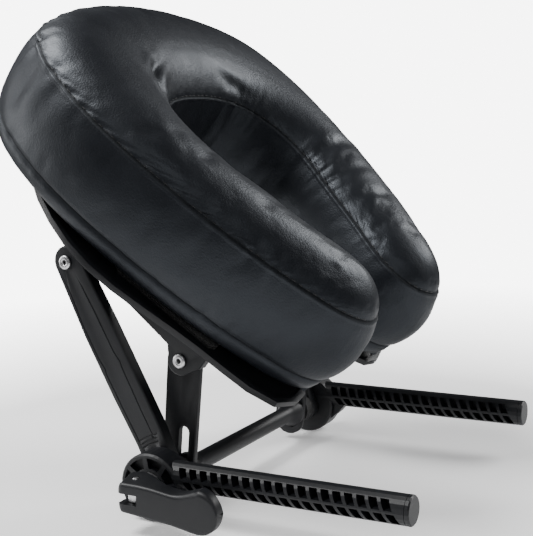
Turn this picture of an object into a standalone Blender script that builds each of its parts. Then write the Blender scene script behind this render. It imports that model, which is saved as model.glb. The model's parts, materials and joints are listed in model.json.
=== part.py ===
"""Adjustable face cradle for a massage table, as an assembly of separate pieces.

Frame, in metres: the origin is midway between the two post axes, in the plane of the shoulders
where the posts leave their hubs. +X runs along the posts into the table, +Y across, +Z up.
The pad frame is tilted about Y: u runs down the platform towards its open end, v is Y and w is
the platform's outward normal, with w = 0 on the platform's rim.
Each side is a stack along Y, counted outwards from the middle: cross bar, slotted arm,
bracket or spacer, long arm, hub. The lever side is at -Y.
"""

import math

import bmesh
import bpy
import numpy as np
from mathutils import Matrix, Vector

GAP = 0.0003

# Posts and hubs
POST_PITCH = 0.216
POST_RADIUS = 0.009
POST_LENGTH = 0.1455
CAP_THICKNESS = 0.0028
CAP_SPIGOT_RADIUS = 0.004
CAP_SPIGOT_LENGTH = 0.005
POCKET_COUNT = 19
POCKET_PITCH = 0.00745
POCKET_LENGTH = 0.0052
POCKET_HEIGHT = 0.006
POCKET_LEAN = 0.5
POCKET_WEB = 0.0018
POCKET_FLOOR = 0.0016
POCKET_START = -0.003
HUB_RADIUS = 0.0220
HUB_WIDTH = 0.0175
HUB_POCKETS = 8
HUB_POCKET_DEPTH = 0.004
HUB_SPOKE_ANGLE = 98.0
GUSSET_END = 0.004

# Linkage pivots in the XZ plane
CLAMP_AXIS = (-0.0272, -0.0083)
ARM_PIVOT = (-0.0980, 0.129)
LINK_PIVOT = (-0.0185, 0.0678)

# Stack along Y, outwards from the middle
LONG_ARM_WIDTH = 0.009
CHEEK_WIDTH = 0.0086
LINK_WIDTH = 0.005
HUB_INNER = POST_PITCH / 2 - HUB_WIDTH / 2
HUB_OUTER = POST_PITCH / 2 + HUB_WIDTH / 2
LONG_ARM_OUTER = HUB_INNER - GAP
LONG_ARM_INNER = LONG_ARM_OUTER - LONG_ARM_WIDTH
CHEEK_OUTER = LONG_ARM_INNER - GAP
CHEEK_INNER = CHEEK_OUTER - CHEEK_WIDTH
LINK_OUTER = CHEEK_INNER - GAP
LINK_INNER = LINK_OUTER - LINK_WIDTH
BAR_END = LINK_INNER - GAP

# Slotted arm
LINK_HEAD = (-0.0217, 0.066)
LINK_HEAD_RADIUS = 0.0127
LINK_FOOT = (-0.0308, -0.0148)
LINK_FOOT_RADIUS = 0.0119
SLOT_WIDTH = 0.0076
SLOT_ABOVE = 0.0308
SLOT_BELOW = 0.0124
SLOT_OFFSET = 0.0003

# Clamp rod, nut, lever
ROD_RADIUS = 0.0023
BORE_RADIUS = 0.0027
EYE_RADIUS = 0.0052
EYE_HEIGHT = 0.006
PIN_RADIUS = 0.002
WASHER_RADIUS = 0.0105
WASHER_THICKNESS = 0.0022
NUT_FLATS = 0.010
NUT_HEIGHT = 0.007
CAM_RADIUS = 0.0098
CAM_THROW = 0.0011
LEVER_REACH = 0.0084
LEVER_BOTTOM = -0.0173
LEVER_TOP = 0.0076
LEVER_WAIST = -0.0018
PADDLE_CENTRE = (0.0495, -0.0099)
PADDLE_RADIUS = 0.0136
PADDLE_THICKNESS = 0.011

# Cross bar
BAR_RADIUS = 0.0063
BAR_FLANGE_RADIUS = 0.0105
BAR_FLANGE_WIDTH = 0.004
BAR_FLARE = 0.012

# Rivets and screws
RIVET_HEAD_RADIUS = 0.0047
RIVET_HEAD_HEIGHT = 0.0018
RIVET_SHANK_RADIUS = 0.0027
RIVET_BORE_RADIUS = 0.0013
SCREW_HEAD_RADIUS = 0.0034
SCREW_HEAD_HEIGHT = 0.0018
SCREW_RADIUS = 0.0016
SCREW_LENGTH = 0.0075

# Platform and cushion in the pad frame
PAD_ORIGIN = (0.0484, 0.0436)
PAD_TILT = math.radians(42.1)
PLATE_THICKNESS = 0.0042
PLATE_DISH = 0.0016
PLATE_RIM = 0.0045
CHEEK_DEPTH = 0.0315
LOBE_RADIUS = 0.0098
FLANGE_WIDTH = 0.016
FLANGE_THICKNESS = 0.004
SCREW_STATIONS = (-0.152, -0.074)
SCREW_INSET = 0.0075
HOOK_THICKNESS = 0.0014
LOOP_THICKNESS = 0.0012
STRIP_WIDTH = 0.025
CUSHION_BOTTOM = 0.0035
LOWER_SEAM = 0.019
UPPER_SEAM = 0.072
CROWN_HEIGHT = 0.0205
CROWN_MARGIN = 0.026
BOXING_BULGE = 0.003
BOTTOM_INSET = 0.010

# Half outlines from the middle of the crown, round the lobe and back inside, as (u, v)
CUSHION_OUTER = (
    (-0.2975, 0.0),
    (-0.284, 0.0765),
    (-0.258, 0.1165),
    (-0.206, 0.136),
    (-0.149, 0.133),
    (-0.070, 0.110),
    (-0.025, 0.088),
    (-0.004, 0.072),
    (0.004, 0.056),
)
CUSHION_INNER = (
    (-0.2035, 0.0),
    (-0.189, 0.052),
    (-0.151, 0.0665),
    (-0.105, 0.0535),
    (-0.062, 0.0375),
    (-0.028, 0.0265),
    (-0.005, 0.034),
    (0.004, 0.056),
)
PLATE_OUTER = (
    (-0.258, 0.0),
    (-0.247, 0.064),
    (-0.219, 0.106),
    (-0.181, 0.127),
    (-0.141, 0.134),
    (-0.092, 0.1195),
    (-0.050, 0.103),
    (-0.010, 0.088),
    (0.000, 0.078),
    (0.003, 0.062),
)
PLATE_INNER = (
    (-0.188, 0.0),
    (-0.175, 0.042),
    (-0.134, 0.056),
    (-0.086, 0.050),
    (-0.040, 0.042),
    (-0.009, 0.0385),
    (0.000, 0.047),
    (0.003, 0.062),
)


def material(name, colour, roughness, metallic=0.0):
    """A Principled material named name."""
    mat = bpy.data.materials.new(name)
    mat.use_nodes = True
    shader = mat.node_tree.nodes["Principled BSDF"]
    shader.inputs["Base Color"].default_value = (*colour, 1.0)
    shader.inputs["Roughness"].default_value = roughness
    shader.inputs["Metallic"].default_value = metallic
    mat.diffuse_color = (*colour, 1.0)
    return mat


def smooth_through(points, count):
    """count points on a natural cubic spline through points, spaced by chord length."""
    pts = np.array(points, float)
    knots = np.r_[0.0, np.cumsum(np.hypot(*np.diff(pts, axis=0).T))]
    size = len(pts)
    gaps = np.diff(knots)
    matrix = np.zeros((size, size))
    right = np.zeros((size, 2))
    matrix[0, 0] = matrix[-1, -1] = 1.0
    for row in range(1, size - 1):
        matrix[row, row - 1] = gaps[row - 1]
        matrix[row, row] = 2 * (gaps[row - 1] + gaps[row])
        matrix[row, row + 1] = gaps[row]
        rise = (pts[row + 1] - pts[row]) / gaps[row] - (pts[row] - pts[row - 1]) / gaps[row - 1]
        right[row] = 6 * rise
    bend = np.linalg.solve(matrix, right)
    where = np.linspace(0.0, knots[-1], count)
    left = np.clip(np.searchsorted(knots, where, side="right") - 1, 0, size - 2)
    step = gaps[left][:, None]
    after = (knots[left + 1] - where)[:, None]
    before = (where - knots[left])[:, None]
    curve = (bend[left] * after**3 + bend[left + 1] * before**3) / (6 * step)
    curve += (pts[left] / step - bend[left] * step / 6) * after
    curve += (pts[left + 1] / step - bend[left + 1] * step / 6) * before
    return curve


def mirrored_half(points, count):
    """The spline through a half outline and its mirror image across v = 0, end to end."""
    far = list(points)
    near = [(u, -v) for u, v in reversed(far[1:])]
    return smooth_through(near + far, 2 * count - 1)


def horseshoe(outer, inner, count):
    """Outer and inner edges with count points each, paired from one lobe tip to the other."""
    return mirrored_half(outer, (count + 1) // 2), mirrored_half(inner, (count + 1) // 2)


def arc(centre, radius, start, end, count):
    """count points on an arc, angles in degrees."""
    angles = np.radians(np.linspace(start, end, count))
    return [(centre[0] + radius * math.cos(a), centre[1] + radius * math.sin(a)) for a in angles]


def circle(centre, radius, count):
    """A closed circle of count points."""
    return arc(centre, radius, 0.0, 360.0, count + 1)[:-1]


def link_outline(top, top_radius, bottom, bottom_radius, count):
    """The outline of two discs and the tangents that join them."""
    span = Vector(bottom) - Vector(top)
    heading = math.degrees(math.atan2(span.y, span.x))
    lean = math.degrees(math.acos((top_radius - bottom_radius) / span.length))
    first = arc(top, top_radius, heading + lean, heading + 360 - lean, count)
    return first + arc(bottom, bottom_radius, heading - lean, heading + lean, count)


def placed(bm, name, mat, pivot=(0.0, 0.0, 0.0), tilted=False, smooth_angle=35.0):
    """Puts a mesh into the scene as an object whose origin is pivot.

    A tilted object has its mesh in the pad frame and pivot in that frame as well.
    """
    bmesh.ops.translate(bm, verts=bm.verts, vec=-Vector(pivot))
    bmesh.ops.recalc_face_normals(bm, faces=bm.faces)
    mesh = bpy.data.meshes.new(name)
    bm.to_mesh(mesh)
    bm.free()
    mesh.materials.append(mat)
    mesh.shade_smooth()
    mesh.set_sharp_from_angle(angle=math.radians(smooth_angle))
    obj = bpy.data.objects.new(name, mesh)
    bpy.context.scene.collection.objects.link(obj)
    frame = pad_frame() if tilted else Matrix.Identity(4)
    obj.matrix_world = frame @ Matrix.Translation(Vector(pivot))
    return obj


def pad_frame():
    """World matrix of the pad frame."""
    where = Matrix.Translation((PAD_ORIGIN[0], 0.0, PAD_ORIGIN[1]))
    return where @ Matrix.Rotation(PAD_TILT, 4, "Y")


def pad_point(point):
    """An (x, z) point of the world as (u, w) in the pad frame."""
    local = pad_frame().inverted() @ Vector((point[0], 0.0, point[1]))
    return (local.x, local.z)


def prism(outline, low, high, axis="Y"):
    """A mesh of the outline, in the plane square to axis, between low and high along it."""
    order = {"X": (2, 0, 1), "Y": (0, 2, 1), "Z": (0, 1, 2)}[axis]
    bm = bmesh.new()
    base = [(p[0], p[1], low) for p in outline]
    ring = [bm.verts.new([point[i] for i in order]) for point in base]
    if axis == "X":
        for vert, point in zip(ring, base):
            vert.co = (low, point[0], point[1])
    face = bm.faces.new(ring)
    made = bmesh.ops.extrude_face_region(bm, geom=[face])["geom"]
    moved = [item for item in made if isinstance(item, bmesh.types.BMVert)]
    along = {"X": (1, 0, 0), "Y": (0, 1, 0), "Z": (0, 0, 1)}[axis]
    bmesh.ops.translate(bm, verts=moved, vec=Vector(along) * (high - low))
    return bm


def turned(profile, centre, axis="Y", count=16):
    """A solid of revolution: (along, radius) points about an axis through centre."""
    bm = bmesh.new()
    along = {"X": Vector((1, 0, 0)), "Y": Vector((0, 1, 0)), "Z": Vector((0, 0, 1))}[axis]
    out = Vector((0, 0, 1)) if axis != "Z" else Vector((1, 0, 0))
    verts = [bm.verts.new(Vector(centre) + along * a + out * r) for a, r in profile]
    edges = [bm.edges.new((verts[i], verts[i + 1])) for i in range(len(verts) - 1)]
    if profile[0][1] > 0 and profile[-1][1] > 0:
        edges.append(bm.edges.new((verts[-1], verts[0])))
    bmesh.ops.spin(
        bm,
        geom=verts + edges,
        cent=Vector(centre),
        axis=along,
        angle=2 * math.pi,
        steps=count,
        use_merge=True,
    )
    bmesh.ops.remove_doubles(bm, verts=bm.verts, dist=1e-6)
    return bm


def box(low, high):
    """A box between two corners."""
    bm = bmesh.new()
    centre = (Vector(low) + Vector(high)) / 2
    size = Vector(high) - Vector(low)
    bmesh.ops.create_cube(bm, size=1.0, matrix=Matrix.Translation(centre) @ Matrix.Diagonal((*size, 1)))
    return bm


def joined(meshes):
    """One mesh that holds several, for a cutter with many separate pockets."""
    whole = bmesh.new()
    for bm in meshes:
        part = bpy.data.meshes.new("part")
        bmesh.ops.recalc_face_normals(bm, faces=bm.faces)
        bm.to_mesh(part)
        bm.free()
        whole.from_mesh(part)
        bpy.data.meshes.remove(part)
    return whole


def boolean(obj, bm, operation, tilted=False):
    """Adds a Boolean modifier with a hidden tool made from bm."""
    tool = placed(bm, f"{obj.name}_tool_{len(obj.modifiers)}", obj.data.materials[0], tilted=tilted)
    tool.hide_render = True
    tool.display_type = "WIRE"
    modifier = obj.modifiers.new(operation.title(), "BOOLEAN")
    modifier.operation = operation
    modifier.object = tool
    return obj


def bevelled(obj, width, segments=1, angle=40.0):
    """Rounds the sharp edges that the object has so far."""
    modifier = obj.modifiers.new("Bevel", "BEVEL")
    modifier.width = width
    modifier.segments = segments
    modifier.limit_method = "ANGLE"
    modifier.angle_limit = math.radians(angle)
    return obj


def spans(side, inner, outer):
    """The low and high Y of a layer on one side, -1 at the lever and 1 opposite."""
    return (inner, outer) if side > 0 else (-outer, -inner)


def bore(side, centre, radius, inner, outer, count=16):
    """A round cutter along Y through a layer, longer than the layer."""
    low, high = spans(side, inner - 0.002, outer + 0.002)
    return prism(circle(centre, radius, count), low, high)


def post(name, side, mat):
    """Moulded post with side-cored pockets, its round hub and the gusset under it."""
    y = side * POST_PITCH / 2
    low, high = spans(side, HUB_INNER, HUB_OUTER)
    hub = placed(
        prism(circle(CLAMP_AXIS, HUB_RADIUS, 36), low, high),
        name,
        mat,
        pivot=(CLAMP_AXIS[0], y, CLAMP_AXIS[1]),
    )
    bevelled(hub, 0.0012)
    stem_end = POST_LENGTH - CAP_THICKNESS - GAP
    start = CLAMP_AXIS[0]
    boolean(hub, prism(circle((y, 0.0), POST_RADIUS, 20), start, stem_end, "X"), "UNION")
    gusset = [(CLAMP_AXIS[0], -0.002), (GUSSET_END, -0.002), (GUSSET_END, -POST_RADIUS * 0.86)]
    foot = (CLAMP_AXIS[0] + HUB_RADIUS * 0.45, CLAMP_AXIS[1] - HUB_RADIUS * 0.84)
    gusset += [(-0.001, -0.0135), foot]
    web = POST_RADIUS * 0.52
    boolean(hub, prism(gusset[::-1], y - web, y + web), "UNION")
    boolean(hub, joined(post_pockets(y)), "DIFFERENCE")
    boolean(hub, joined(hub_pockets(side)), "DIFFERENCE")
    boolean(hub, bore(side, CLAMP_AXIS, BORE_RADIUS, HUB_INNER, HUB_OUTER), "DIFFERENCE")
    spigot = prism(
        circle((y, 0.0), CAP_SPIGOT_RADIUS + GAP, 12),
        stem_end - CAP_SPIGOT_LENGTH - GAP,
        stem_end + 0.002,
        "X",
    )
    return boolean(hub, spigot, "DIFFERENCE")


def post_pockets(y):
    """Two rows of leaning pockets on each side of the post, above and below its middle web."""
    pockets = []
    for index in range(POCKET_COUNT):
        start = POCKET_START + index * POCKET_PITCH
        for row in (-1, 1):
            near, far = row * POCKET_WEB / 2, row * (POCKET_WEB / 2 + POCKET_HEIGHT)
            corners = [(0.0, near), (POCKET_LENGTH, near), (POCKET_LENGTH, far), (0.0, far)]
            outline = [(start + x - POCKET_LEAN * z, z) for x, z in corners]
            for way in (-1, 1):
                y0, y1 = sorted((y + way * POCKET_FLOOR / 2, y + way * (POST_RADIUS + 0.002)))
                pockets.append(prism(outline, y0, y1))
    return pockets


def hub_pockets(side):
    """Wedge pockets between the spokes of the hub's outer face."""
    pockets = []
    step = 360.0 / HUB_POCKETS
    outer, inner = HUB_RADIUS - 0.0028, WASHER_RADIUS + 0.0022
    for index in range(HUB_POCKETS):
        middle = HUB_SPOKE_ANGLE + (index + 0.5) * step
        rim = arc(CLAMP_AXIS, outer, middle - step * 0.4, middle + step * 0.4, 4)
        root = arc(CLAMP_AXIS, inner, middle + step * 0.32, middle - step * 0.32, 3)
        low, high = spans(side, HUB_OUTER - HUB_POCKET_DEPTH, HUB_OUTER + 0.002)
        pockets.append(prism(rim + root, low, high))
    return pockets


def post_cap(name, side, mat):
    """Plug that closes the end of a post."""
    face = POST_LENGTH
    back = POST_LENGTH - CAP_THICKNESS
    profile = [
        (back - CAP_SPIGOT_LENGTH, 0.0),
        (back - CAP_SPIGOT_LENGTH, CAP_SPIGOT_RADIUS),
        (back, CAP_SPIGOT_RADIUS),
        (back, POST_RADIUS),
        (face - 0.0008, POST_RADIUS),
        (face, POST_RADIUS - 0.0008),
        (face, 0.0),
    ]
    y = side * POST_PITCH / 2
    return placed(turned(profile, (0.0, y, 0.0), "X", 20), name, mat, pivot=(face, y, 0.0))


def long_arm(name, side, mat):
    """Long side arm from the clamp axis up to the bracket pivot, widest at mid-length."""
    start, end = Vector(ARM_PIVOT), Vector(CLAMP_AXIS)
    along = (end - start).normalized()
    across = Vector((-along.y, along.x))
    length = (end - start).length
    heading = math.degrees(math.atan2(along.y, along.x))
    head = start + across * 0.001
    outline = arc(head, 0.0105, heading + 95, heading + 265, 10)
    for station, offset in ((0.32, -0.0116), (0.6, -0.0112), (0.82, -0.0098)):
        outline.append(tuple(start + along * (length * station) + across * offset))
    outline += arc(end, 0.0112, heading - 75, heading + 65, 9)
    for station, offset in ((0.8, 0.0132), (0.6, 0.0132), (0.32, 0.0128)):
        outline.append(tuple(start + along * (length * station) + across * offset))
    low, high = spans(side, LONG_ARM_INNER, LONG_ARM_OUTER)
    arm = placed(prism(outline, low, high), name, mat, pivot=(end.x, (low + high) / 2, end.y))
    bevelled(arm, 0.0008)
    boolean(arm, bore(side, ARM_PIVOT, RIVET_SHANK_RADIUS + GAP, LONG_ARM_INNER, LONG_ARM_OUTER), "DIFFERENCE")
    return boolean(arm, bore(side, CLAMP_AXIS, BORE_RADIUS, LONG_ARM_INNER, LONG_ARM_OUTER), "DIFFERENCE")


def slotted_arm(name, side, mat):
    """Short arm that hangs from the bracket and slides on the clamp rod by its slot."""
    top, rod = Vector(LINK_PIVOT), Vector(CLAMP_AXIS)
    down = (rod - top).normalized()
    low, high = spans(side, LINK_INNER, LINK_OUTER)
    outline = link_outline(LINK_HEAD, LINK_HEAD_RADIUS, LINK_FOOT, LINK_FOOT_RADIUS, 9)
    arm = placed(prism(outline, low, high), name, mat, pivot=(top.x, (low + high) / 2, top.y))
    bevelled(arm, 0.0008)
    shift = Vector((SLOT_OFFSET, 0.0))
    radius = SLOT_WIDTH / 2
    ends = (rod - down * (SLOT_ABOVE - radius) + shift, rod + down * (SLOT_BELOW - radius) + shift)
    cut_low, cut_high = spans(side, LINK_INNER - 0.002, LINK_OUTER + 0.002)
    boolean(arm, prism(link_outline(ends[0], radius, ends[1], radius, 7), cut_low, cut_high), "DIFFERENCE")
    return boolean(arm, bore(side, LINK_PIVOT, RIVET_SHANK_RADIUS + GAP, LINK_INNER, LINK_OUTER), "DIFFERENCE")


def spacer(name, side, mat):
    """Friction ring between the long arm and the slotted arm."""
    low, high = spans(side, CHEEK_INNER, CHEEK_OUTER)
    profile = [(low, BORE_RADIUS), (low, WASHER_RADIUS), (high, WASHER_RADIUS), (high, BORE_RADIUS)]
    centre = (CLAMP_AXIS[0], 0.0, CLAMP_AXIS[1])
    return placed(turned(profile, centre), name, mat, pivot=(CLAMP_AXIS[0], (low + high) / 2, CLAMP_AXIS[1]))


def cross_bar(mat):
    """Tube round the clamp rod that keeps the two sides apart, flared into a flange at each end."""
    half = [
        (BAR_END, BORE_RADIUS + 0.0006),
        (BAR_END, BAR_FLANGE_RADIUS),
        (BAR_END - BAR_FLANGE_WIDTH, BAR_FLANGE_RADIUS),
        (BAR_END - BAR_FLANGE_WIDTH - BAR_FLARE * 0.4, BAR_RADIUS + 0.0012),
        (BAR_END - BAR_FLANGE_WIDTH - BAR_FLARE, BAR_RADIUS),
    ]
    profile = half + [(-y, r) for y, r in reversed(half)]
    centre = (CLAMP_AXIS[0], 0.0, CLAMP_AXIS[1])
    return placed(turned(profile, centre, count=20), "cross_bar", mat, pivot=centre)


def clamp_rod(mat):
    """Draw rod from the far nut to the eye that the lever's pin goes through."""
    eye = pin_centre()
    centre = (CLAMP_AXIS[0], 0.0, CLAMP_AXIS[1])
    start = eye.y + EYE_RADIUS * 0.6
    profile = [(start, 0.0), (start, ROD_RADIUS), (rod_end(), ROD_RADIUS), (rod_end(), 0.0)]
    rod = placed(turned(profile, centre, count=12), "clamp_rod", mat, pivot=centre)
    ring = prism(circle((eye.x, eye.y), EYE_RADIUS, 16), eye.z - EYE_HEIGHT / 2, eye.z + EYE_HEIGHT / 2, "Z")
    boolean(rod, ring, "UNION")
    hole = circle((eye.x, eye.y), PIN_RADIUS + GAP, 12)
    return boolean(rod, prism(hole, eye.z - EYE_HEIGHT, eye.z + EYE_HEIGHT, "Z"), "DIFFERENCE")


def rod_end():
    """Y of the rod's far end, just past its nut."""
    return HUB_OUTER + WASHER_THICKNESS + NUT_HEIGHT + 3 * GAP + 0.002


def pin_centre():
    """Middle of the lever's pin on the rod's axis, at the cam's closed distance from the washer."""
    cam_face = HUB_OUTER + WASHER_THICKNESS + 2 * GAP
    return Vector((CLAMP_AXIS[0], -(cam_face + CAM_RADIUS + CAM_THROW), CLAMP_AXIS[1]))


def washer(name, side, mat):
    """Flat washer on the outer face of a hub."""
    low, high = spans(side, HUB_OUTER + GAP, HUB_OUTER + GAP + WASHER_THICKNESS)
    profile = [(low, BORE_RADIUS), (low, WASHER_RADIUS), (high, WASHER_RADIUS), (high, BORE_RADIUS)]
    centre = (CLAMP_AXIS[0], 0.0, CLAMP_AXIS[1])
    return placed(turned(profile, centre, count=20), name, mat, pivot=(CLAMP_AXIS[0], low, CLAMP_AXIS[1]))


def clamp_nut(mat):
    """Hexagon nut on the rod's far end."""
    low = HUB_OUTER + WASHER_THICKNESS + 2 * GAP
    across_corners = NUT_FLATS / math.sqrt(3)
    nut = placed(
        prism(circle(CLAMP_AXIS, across_corners, 6), low, low + NUT_HEIGHT),
        "clamp_nut",
        mat,
        pivot=(CLAMP_AXIS[0], low, CLAMP_AXIS[1]),
    )
    bevelled(nut, 0.0006, angle=70)
    return boolean(nut, bore(1, CLAMP_AXIS, BORE_RADIUS, low, low + NUT_HEIGHT, 12), "DIFFERENCE")


def cam_lever(mat):
    """Cam lever: the side view outline and the plan outline intersected, then forked for the eye."""
    pin = pin_centre()
    left = pin.x - LEVER_REACH
    side_view = [(left, LEVER_BOTTOM + 0.002), (left + 0.002, LEVER_BOTTOM)]
    side_view += [(pin.x + 0.030, PADDLE_CENTRE[1] - PADDLE_RADIUS + 0.0022)]
    side_view += arc((pin.x + PADDLE_CENTRE[0], PADDLE_CENTRE[1]), PADDLE_RADIUS, -100, 105, 12)
    side_view += [(pin.x + 0.036, LEVER_WAIST + 0.0012), (pin.x + 0.030, LEVER_WAIST)]
    side_view += [(pin.x + 0.021, LEVER_WAIST + 0.0026), (pin.x + 0.011, LEVER_TOP)]
    side_view += [(left + 0.002, LEVER_TOP), (left, LEVER_TOP - 0.002)]
    lever = placed(prism(side_view, pin.y - 0.012, pin.y + 0.014), "cam_lever", mat, pivot=pin)
    cam = Vector((pin.x, pin.y + CAM_THROW))
    plan = arc(cam, CAM_RADIUS, 180, 0, 13)[::-1]
    plan += [(cam.x - CAM_RADIUS, pin.y - 0.007), (cam.x - CAM_RADIUS + 0.0025, pin.y - 0.0095)]
    paddle_back = pin.y - 0.0095
    tip = pin.x + PADDLE_CENTRE[0] + PADDLE_RADIUS
    plan += [(tip - 0.009, paddle_back), (tip + 0.0005, paddle_back + 0.0025)]
    plan += [(tip + 0.001, paddle_back + PADDLE_THICKNESS - 0.003)]
    plan += [(tip - 0.004, paddle_back + PADDLE_THICKNESS), (pin.x + 0.024, paddle_back + PADDLE_THICKNESS)]
    boolean(lever, prism(plan, LEVER_BOTTOM - 0.02, LEVER_TOP + 0.02, "Z"), "INTERSECT")
    bevelled(lever, 0.0009, angle=50)
    reach = EYE_RADIUS + 0.0011
    half = EYE_HEIGHT / 2 + GAP
    fork = box(
        (pin.x - 0.03, pin.y - 0.03, pin.z - half),
        (pin.x + reach, pin.y + 0.03, pin.z + half),
    )
    boolean(lever, fork, "DIFFERENCE")
    hole = circle((pin.x, pin.y), PIN_RADIUS + GAP, 12)
    return boolean(lever, prism(hole, LEVER_BOTTOM - 0.01, LEVER_TOP + 0.01, "Z"), "DIFFERENCE")


def lever_pin(mat):
    """Pin through the lever's fork and the rod's eye."""
    pin = pin_centre()
    profile = [(LEVER_BOTTOM + 0.0015, 0.0), (LEVER_BOTTOM + 0.0015, PIN_RADIUS)]
    profile += [(LEVER_TOP, PIN_RADIUS), (LEVER_TOP, 0.0)]
    return placed(turned(profile, (pin.x, pin.y, 0.0), "Z", 12), "lever_pin", mat, pivot=pin)


def rivet(name, side, centre, inner, outer, mat):
    """Hollow rivet with a flat head on each face of the two pieces it joins."""
    low, high = spans(side, inner - GAP, outer + GAP)
    profile = [
        (low - RIVET_HEAD_HEIGHT, RIVET_BORE_RADIUS),
        (low - RIVET_HEAD_HEIGHT, RIVET_HEAD_RADIUS - 0.0006),
        (low - RIVET_HEAD_HEIGHT + 0.0006, RIVET_HEAD_RADIUS),
        (low, RIVET_HEAD_RADIUS),
        (low, RIVET_SHANK_RADIUS),
        (high, RIVET_SHANK_RADIUS),
        (high, RIVET_HEAD_RADIUS),
        (high + RIVET_HEAD_HEIGHT - 0.0006, RIVET_HEAD_RADIUS),
        (high + RIVET_HEAD_HEIGHT, RIVET_HEAD_RADIUS - 0.0006),
        (high + RIVET_HEAD_HEIGHT, RIVET_BORE_RADIUS),
    ]
    pivot = (centre[0], (low + high) / 2, centre[1])
    return placed(turned(profile, (centre[0], 0.0, centre[1]), count=16), name, mat, pivot=pivot)


def horseshoe_outline(outer, inner, count):
    """One closed loop of (u, v) points: along the outer edge and back along the inner one."""
    rim, opening = horseshoe(outer, inner, count)
    return [tuple(p) for p in rim] + [tuple(p) for p in opening[::-1][1:-1]]


def platform(mat):
    """Thin horseshoe plate, dished inside a raised rim, with holes for the bracket screws."""
    outline = horseshoe_outline(PLATE_OUTER, PLATE_INNER, 37)
    bm = prism(outline, -PLATE_THICKNESS, 0.0, "Z")
    top = max(bm.faces, key=lambda face: (len(face.verts) > 4, face.calc_center_median().z))
    bmesh.ops.recalc_face_normals(bm, faces=bm.faces)
    bmesh.ops.inset_region(bm, faces=[top], thickness=PLATE_RIM, depth=0.0, use_even_offset=True)
    bmesh.ops.inset_region(bm, faces=[top], thickness=0.0012, depth=-PLATE_DISH, use_even_offset=True)
    plate = placed(bm, "platform", mat, tilted=True, smooth_angle=25.0)
    boolean(plate, joined(screw_cutters(-PLATE_THICKNESS)), "DIFFERENCE", tilted=True)
    return plate


def screw_places():
    """Middle of each bracket screw in the pad frame, as (side, u, v)."""
    v = CHEEK_INNER - SCREW_INSET
    return [(side, u, side * v) for side in (-1, 1) for u in SCREW_STATIONS]


def screw_cutters(under):
    """A clearance hole and a head recess for each screw, down through a layer's underside."""
    cutters = []
    head = -PLATE_DISH - SCREW_HEAD_HEIGHT - GAP
    for _, u, v in screw_places():
        profile = [
            (under - 0.003, 0.0),
            (under - 0.003, SCREW_RADIUS + GAP),
            (head, SCREW_RADIUS + GAP),
            (head, SCREW_HEAD_RADIUS + GAP),
            (0.004, SCREW_HEAD_RADIUS + GAP),
            (0.004, 0.0),
        ]
        cutters.append(turned(profile, (u, v, 0.0), "Z", 12))
    return cutters


def bracket_screw(name, u, v, mat):
    """Screw that holds a bracket up against the platform."""
    top = -PLATE_DISH - GAP
    neck = top - SCREW_HEAD_HEIGHT
    profile = [
        (top - SCREW_LENGTH, 0.0),
        (top - SCREW_LENGTH, SCREW_RADIUS),
        (neck, SCREW_RADIUS),
        (neck, SCREW_HEAD_RADIUS),
        (top, SCREW_HEAD_RADIUS),
        (top, 0.0),
    ]
    return placed(turned(profile, (u, v, 0.0), "Z", 12), name, mat, pivot=(u, v, top), tilted=True)


def bracket(name, side, mat):
    """Side cheek with a lobe at each pivot, and a flange that the screws hold to the platform."""
    arm_u, arm_w = pad_point(ARM_PIVOT)
    link_u, link_w = pad_point(LINK_PIVOT)
    top = -PLATE_THICKNESS - GAP
    outline = [(arm_u - 0.020, top), (arm_u - 0.0125, top - 0.012)]
    outline += arc((arm_u, arm_w), LOBE_RADIUS, 165, 300, 9)
    outline += [(arm_u + 0.020, -CHEEK_DEPTH), (arm_u + 0.050, -CHEEK_DEPTH + 0.0045)]
    outline += [(link_u - 0.014, -CHEEK_DEPTH + 0.006)]
    outline += arc((link_u, link_w), LOBE_RADIUS, 200, 335, 9)
    outline += [(link_u + 0.0135, link_w + 0.006), (link_u + 0.0125, top)]
    low, high = spans(side, CHEEK_INNER, CHEEK_OUTER)
    cheek = placed(prism(outline, low, high), name, mat, pivot=(arm_u, (low + high) / 2, arm_w), tilted=True)
    bevelled(cheek, 0.0007)
    low, high = spans(side, CHEEK_INNER - FLANGE_WIDTH, CHEEK_INNER + 0.003)
    flange = box((arm_u - 0.008, low, top - FLANGE_THICKNESS), (link_u + 0.010, high, top))
    boolean(cheek, flange, "UNION", tilted=True)
    for pivot in ((arm_u, arm_w), (link_u, link_w)):
        hole = bore(side, pivot, RIVET_SHANK_RADIUS + GAP, CHEEK_INNER, CHEEK_OUTER)
        boolean(cheek, hole, "DIFFERENCE", tilted=True)
    holes = [
        prism(circle((u, v), SCREW_RADIUS + GAP, 10), top - FLANGE_THICKNESS - 0.002, top + 0.002, "Z")
        for which, u, v in screw_places()
        if which == side
    ]
    return boolean(cheek, joined(holes), "DIFFERENCE", tilted=True)


def strip(name, centre, size, turn, low, high, mat):
    """Flat fastener strip with cut corners, turned by an angle in the platform's plane."""
    half_u, half_v = size[0] / 2, size[1] / 2
    cut = 0.004
    corners = [(half_u - cut, half_v), (half_u, half_v - cut), (half_u, cut - half_v), (half_u - cut, -half_v)]
    corners += [(-u, -v) for u, v in corners]
    cos, sin = math.cos(math.radians(turn)), math.sin(math.radians(turn))
    outline = [(centre[0] + u * cos - v * sin, centre[1] + u * sin + v * cos) for u, v in corners]
    return placed(prism(outline, low, high, "Z"), name, mat, pivot=(*centre, low), tilted=True)


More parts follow.
